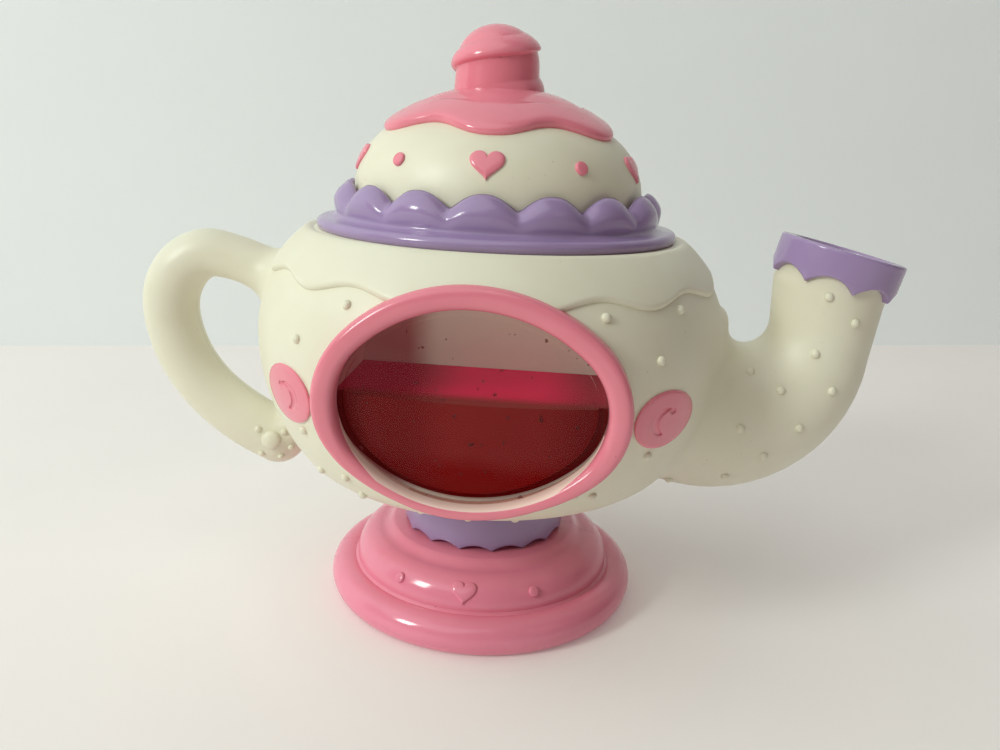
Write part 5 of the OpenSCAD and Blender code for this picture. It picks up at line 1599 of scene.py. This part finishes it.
def dress_workings() -> None:
    """Gives the pieces that keep their CAD form their real materials."""
    steel = Metal("zinc_plated_steel", "#c3c5c8", "#9a9ca0")
    finishes: dict[str, Finish] = {
        "base_plate": BASE_PINK, "battery_door": BASE_PINK, "lid_dome": CREAM,
        "window_lens": ClearPlastic(), "tea_pan": TeaTub(), "tea_liquid": Tea(),
        "switch_plunger": WHITE, "tilt_ball": Metal("turned_brass", "#d0ad62", "#a5823f", 0.25),
        "circuit_board": Patterned("glass_epoxy_laminate", "#2f6a41", "#3f8253", 0.45, 0.8),
        "speaker": Metal("painted_steel_basket", "#4a4b4f", "#37383b", 0.5),
        "speaker_cone": Patterned("pressed_paper_cone", "#39373a", "#4a4648", 0.9, 1.2),
        "aa_cells": Patterned("printed_cell_jacket", "#b4653c", "#a3572f", 0.35, 3.0,
                              (0.2, 1.0, 1.0)),
        "lead_wires": MouldedPlastic("pvc_wire_jacket", "#b82a2a", "#a82323", 0.4, 10.0,
                                     speck_share=0.0),
    }
    finishes |= dict.fromkeys(
        ("lid_spring", "lid_washer", "lid_screw", "tilt_can", "cell_contacts", "base_screws",
         "battery_door_screw", "body_screws", "collar_screws", "board_screws"), steel)
    finishes |= dict.fromkeys(
        ("board_parts", "switch_body", "power_switch_body", "power_switch_knob"), BLACK)
    for name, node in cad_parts.items():
        if node.hide_render or name not in finishes:
            continue
        node.data.materials.clear()
        node.data.materials.append(finishes[name].material())
        LOG.info("%s: %s", name, finishes[name].name)


@dataclass
class Studio:
    """Pale floor and wall, a window-like key light from the left, soft fill and the camera.

    A lamp is the way to it, its distance, its width and height, its watts and its colour. The
    wall's foot is given at two pixels of the photograph.
    """

    floor: str = "#eae5e2"
    wall: str = "#e9eeee"
    wall_foot: tuple = ((0.0, 346.0), (1000.0, 345.0))
    stage_mm: float = 2500.0
    stage_depth: float = 1.2
    lamps: tuple = (
        ("window_light", (-0.7, -0.58, 0.45), 2200.0, (430.0, 600.0), 20.0, "#f6fff6"),
        ("overcast_light", (-0.4, -0.4, 1.0), 2000.0, (2400.0, 2400.0), 22.0, "#fafffc"),
        ("room_fill", (0.75, -0.55, 0.6), 1300.0, (500.0, 500.0), 0.3, "#ffd8b8"))
    lamp_aim_z: float = 90.0
    sky: str = "#ffe6d2"
    sky_strength: float = 0.08

    def sheet(self, name: str, corners: Sequence[Vector], colour: str) -> None:
        """Adds a plain stage sheet with its corners in millimetres."""
        bm = bmesh.new()
        bm.faces.new([bm.verts.new(c) for c in corners])
        bmesh.ops.scale(bm, vec=(MM, MM, MM), verts=bm.verts)
        mesh = write_mesh(bm, name)
        mesh.materials.append(StagePaper(f"{name}_paper", colour).material())
        link(name, mesh)

    def lamp(self, name: str, way: Sequence[float], far: float, size: Point2, watts: float,
             colour: str) -> None:
        """Adds a soft rectangular lamp that faces the toy.

        Args:
            name: its name.
            way: direction from the toy to the lamp.
            far: distance in millimetres.
            size: width and height in millimetres.
            watts: its power.
            colour: its colour.
        """
        data = bpy.data.lights.new(name, "AREA")
        data.shape, data.size, data.size_y = "RECTANGLE", size[0] * MM, size[1] * MM
        data.energy, data.color = watts, linear(colour)[:3]
        out = Vector(way).normalized()
        place = (out * far + Vector((0, 0, self.lamp_aim_z))) * MM
        link(name, data).matrix_world = Matrix.Translation(place) @ aim(out)

    def build(self) -> None:
        """Sets the floor, wall, lamps, sky and camera."""
        left, right = (EYE.floor_at(*spot) for spot in self.wall_foot)
        run = (right - left).normalized() * self.stage_mm
        near = Vector((run.y, -run.x, 0)) * self.stage_depth
        a, b = left - run, right + run
        rise = Vector((0, 0, self.stage_mm))
        self.sheet("stage_floor", (a + near, b + near, b, a), self.floor)
        self.sheet("stage_wall", (a, b, b + rise, a + rise), self.wall)
        for lamp in self.lamps:
            self.lamp(*lamp)
        world = bpy.data.worlds.new("studio_sky")
        world.use_nodes = True
        world.node_tree.nodes.clear()
        sky = add_node(world.node_tree, "ShaderNodeBackground", None,
                       {"Color": linear(self.sky), "Strength": self.sky_strength})
        add_node(world.node_tree, "ShaderNodeOutputWorld", None,
                 {"Surface": sky.outputs["Background"]})
        bpy.context.scene.world = world
        bpy.context.scene.view_settings.view_transform = "Standard"
        EYE.make()


def main() -> None:
    """Builds the toy in order."""
    logging.basicConfig(level=logging.INFO, format="%(message)s")
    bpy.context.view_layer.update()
    pot = PotField()
    Studio().build()
    for group in (PotBody(pot), SpoutRim(pot), Window(pot), LidCollar(), Lid(), Pedestal()):
        group.build()
    dress_workings()


if __name__ == "__main__":
    main()
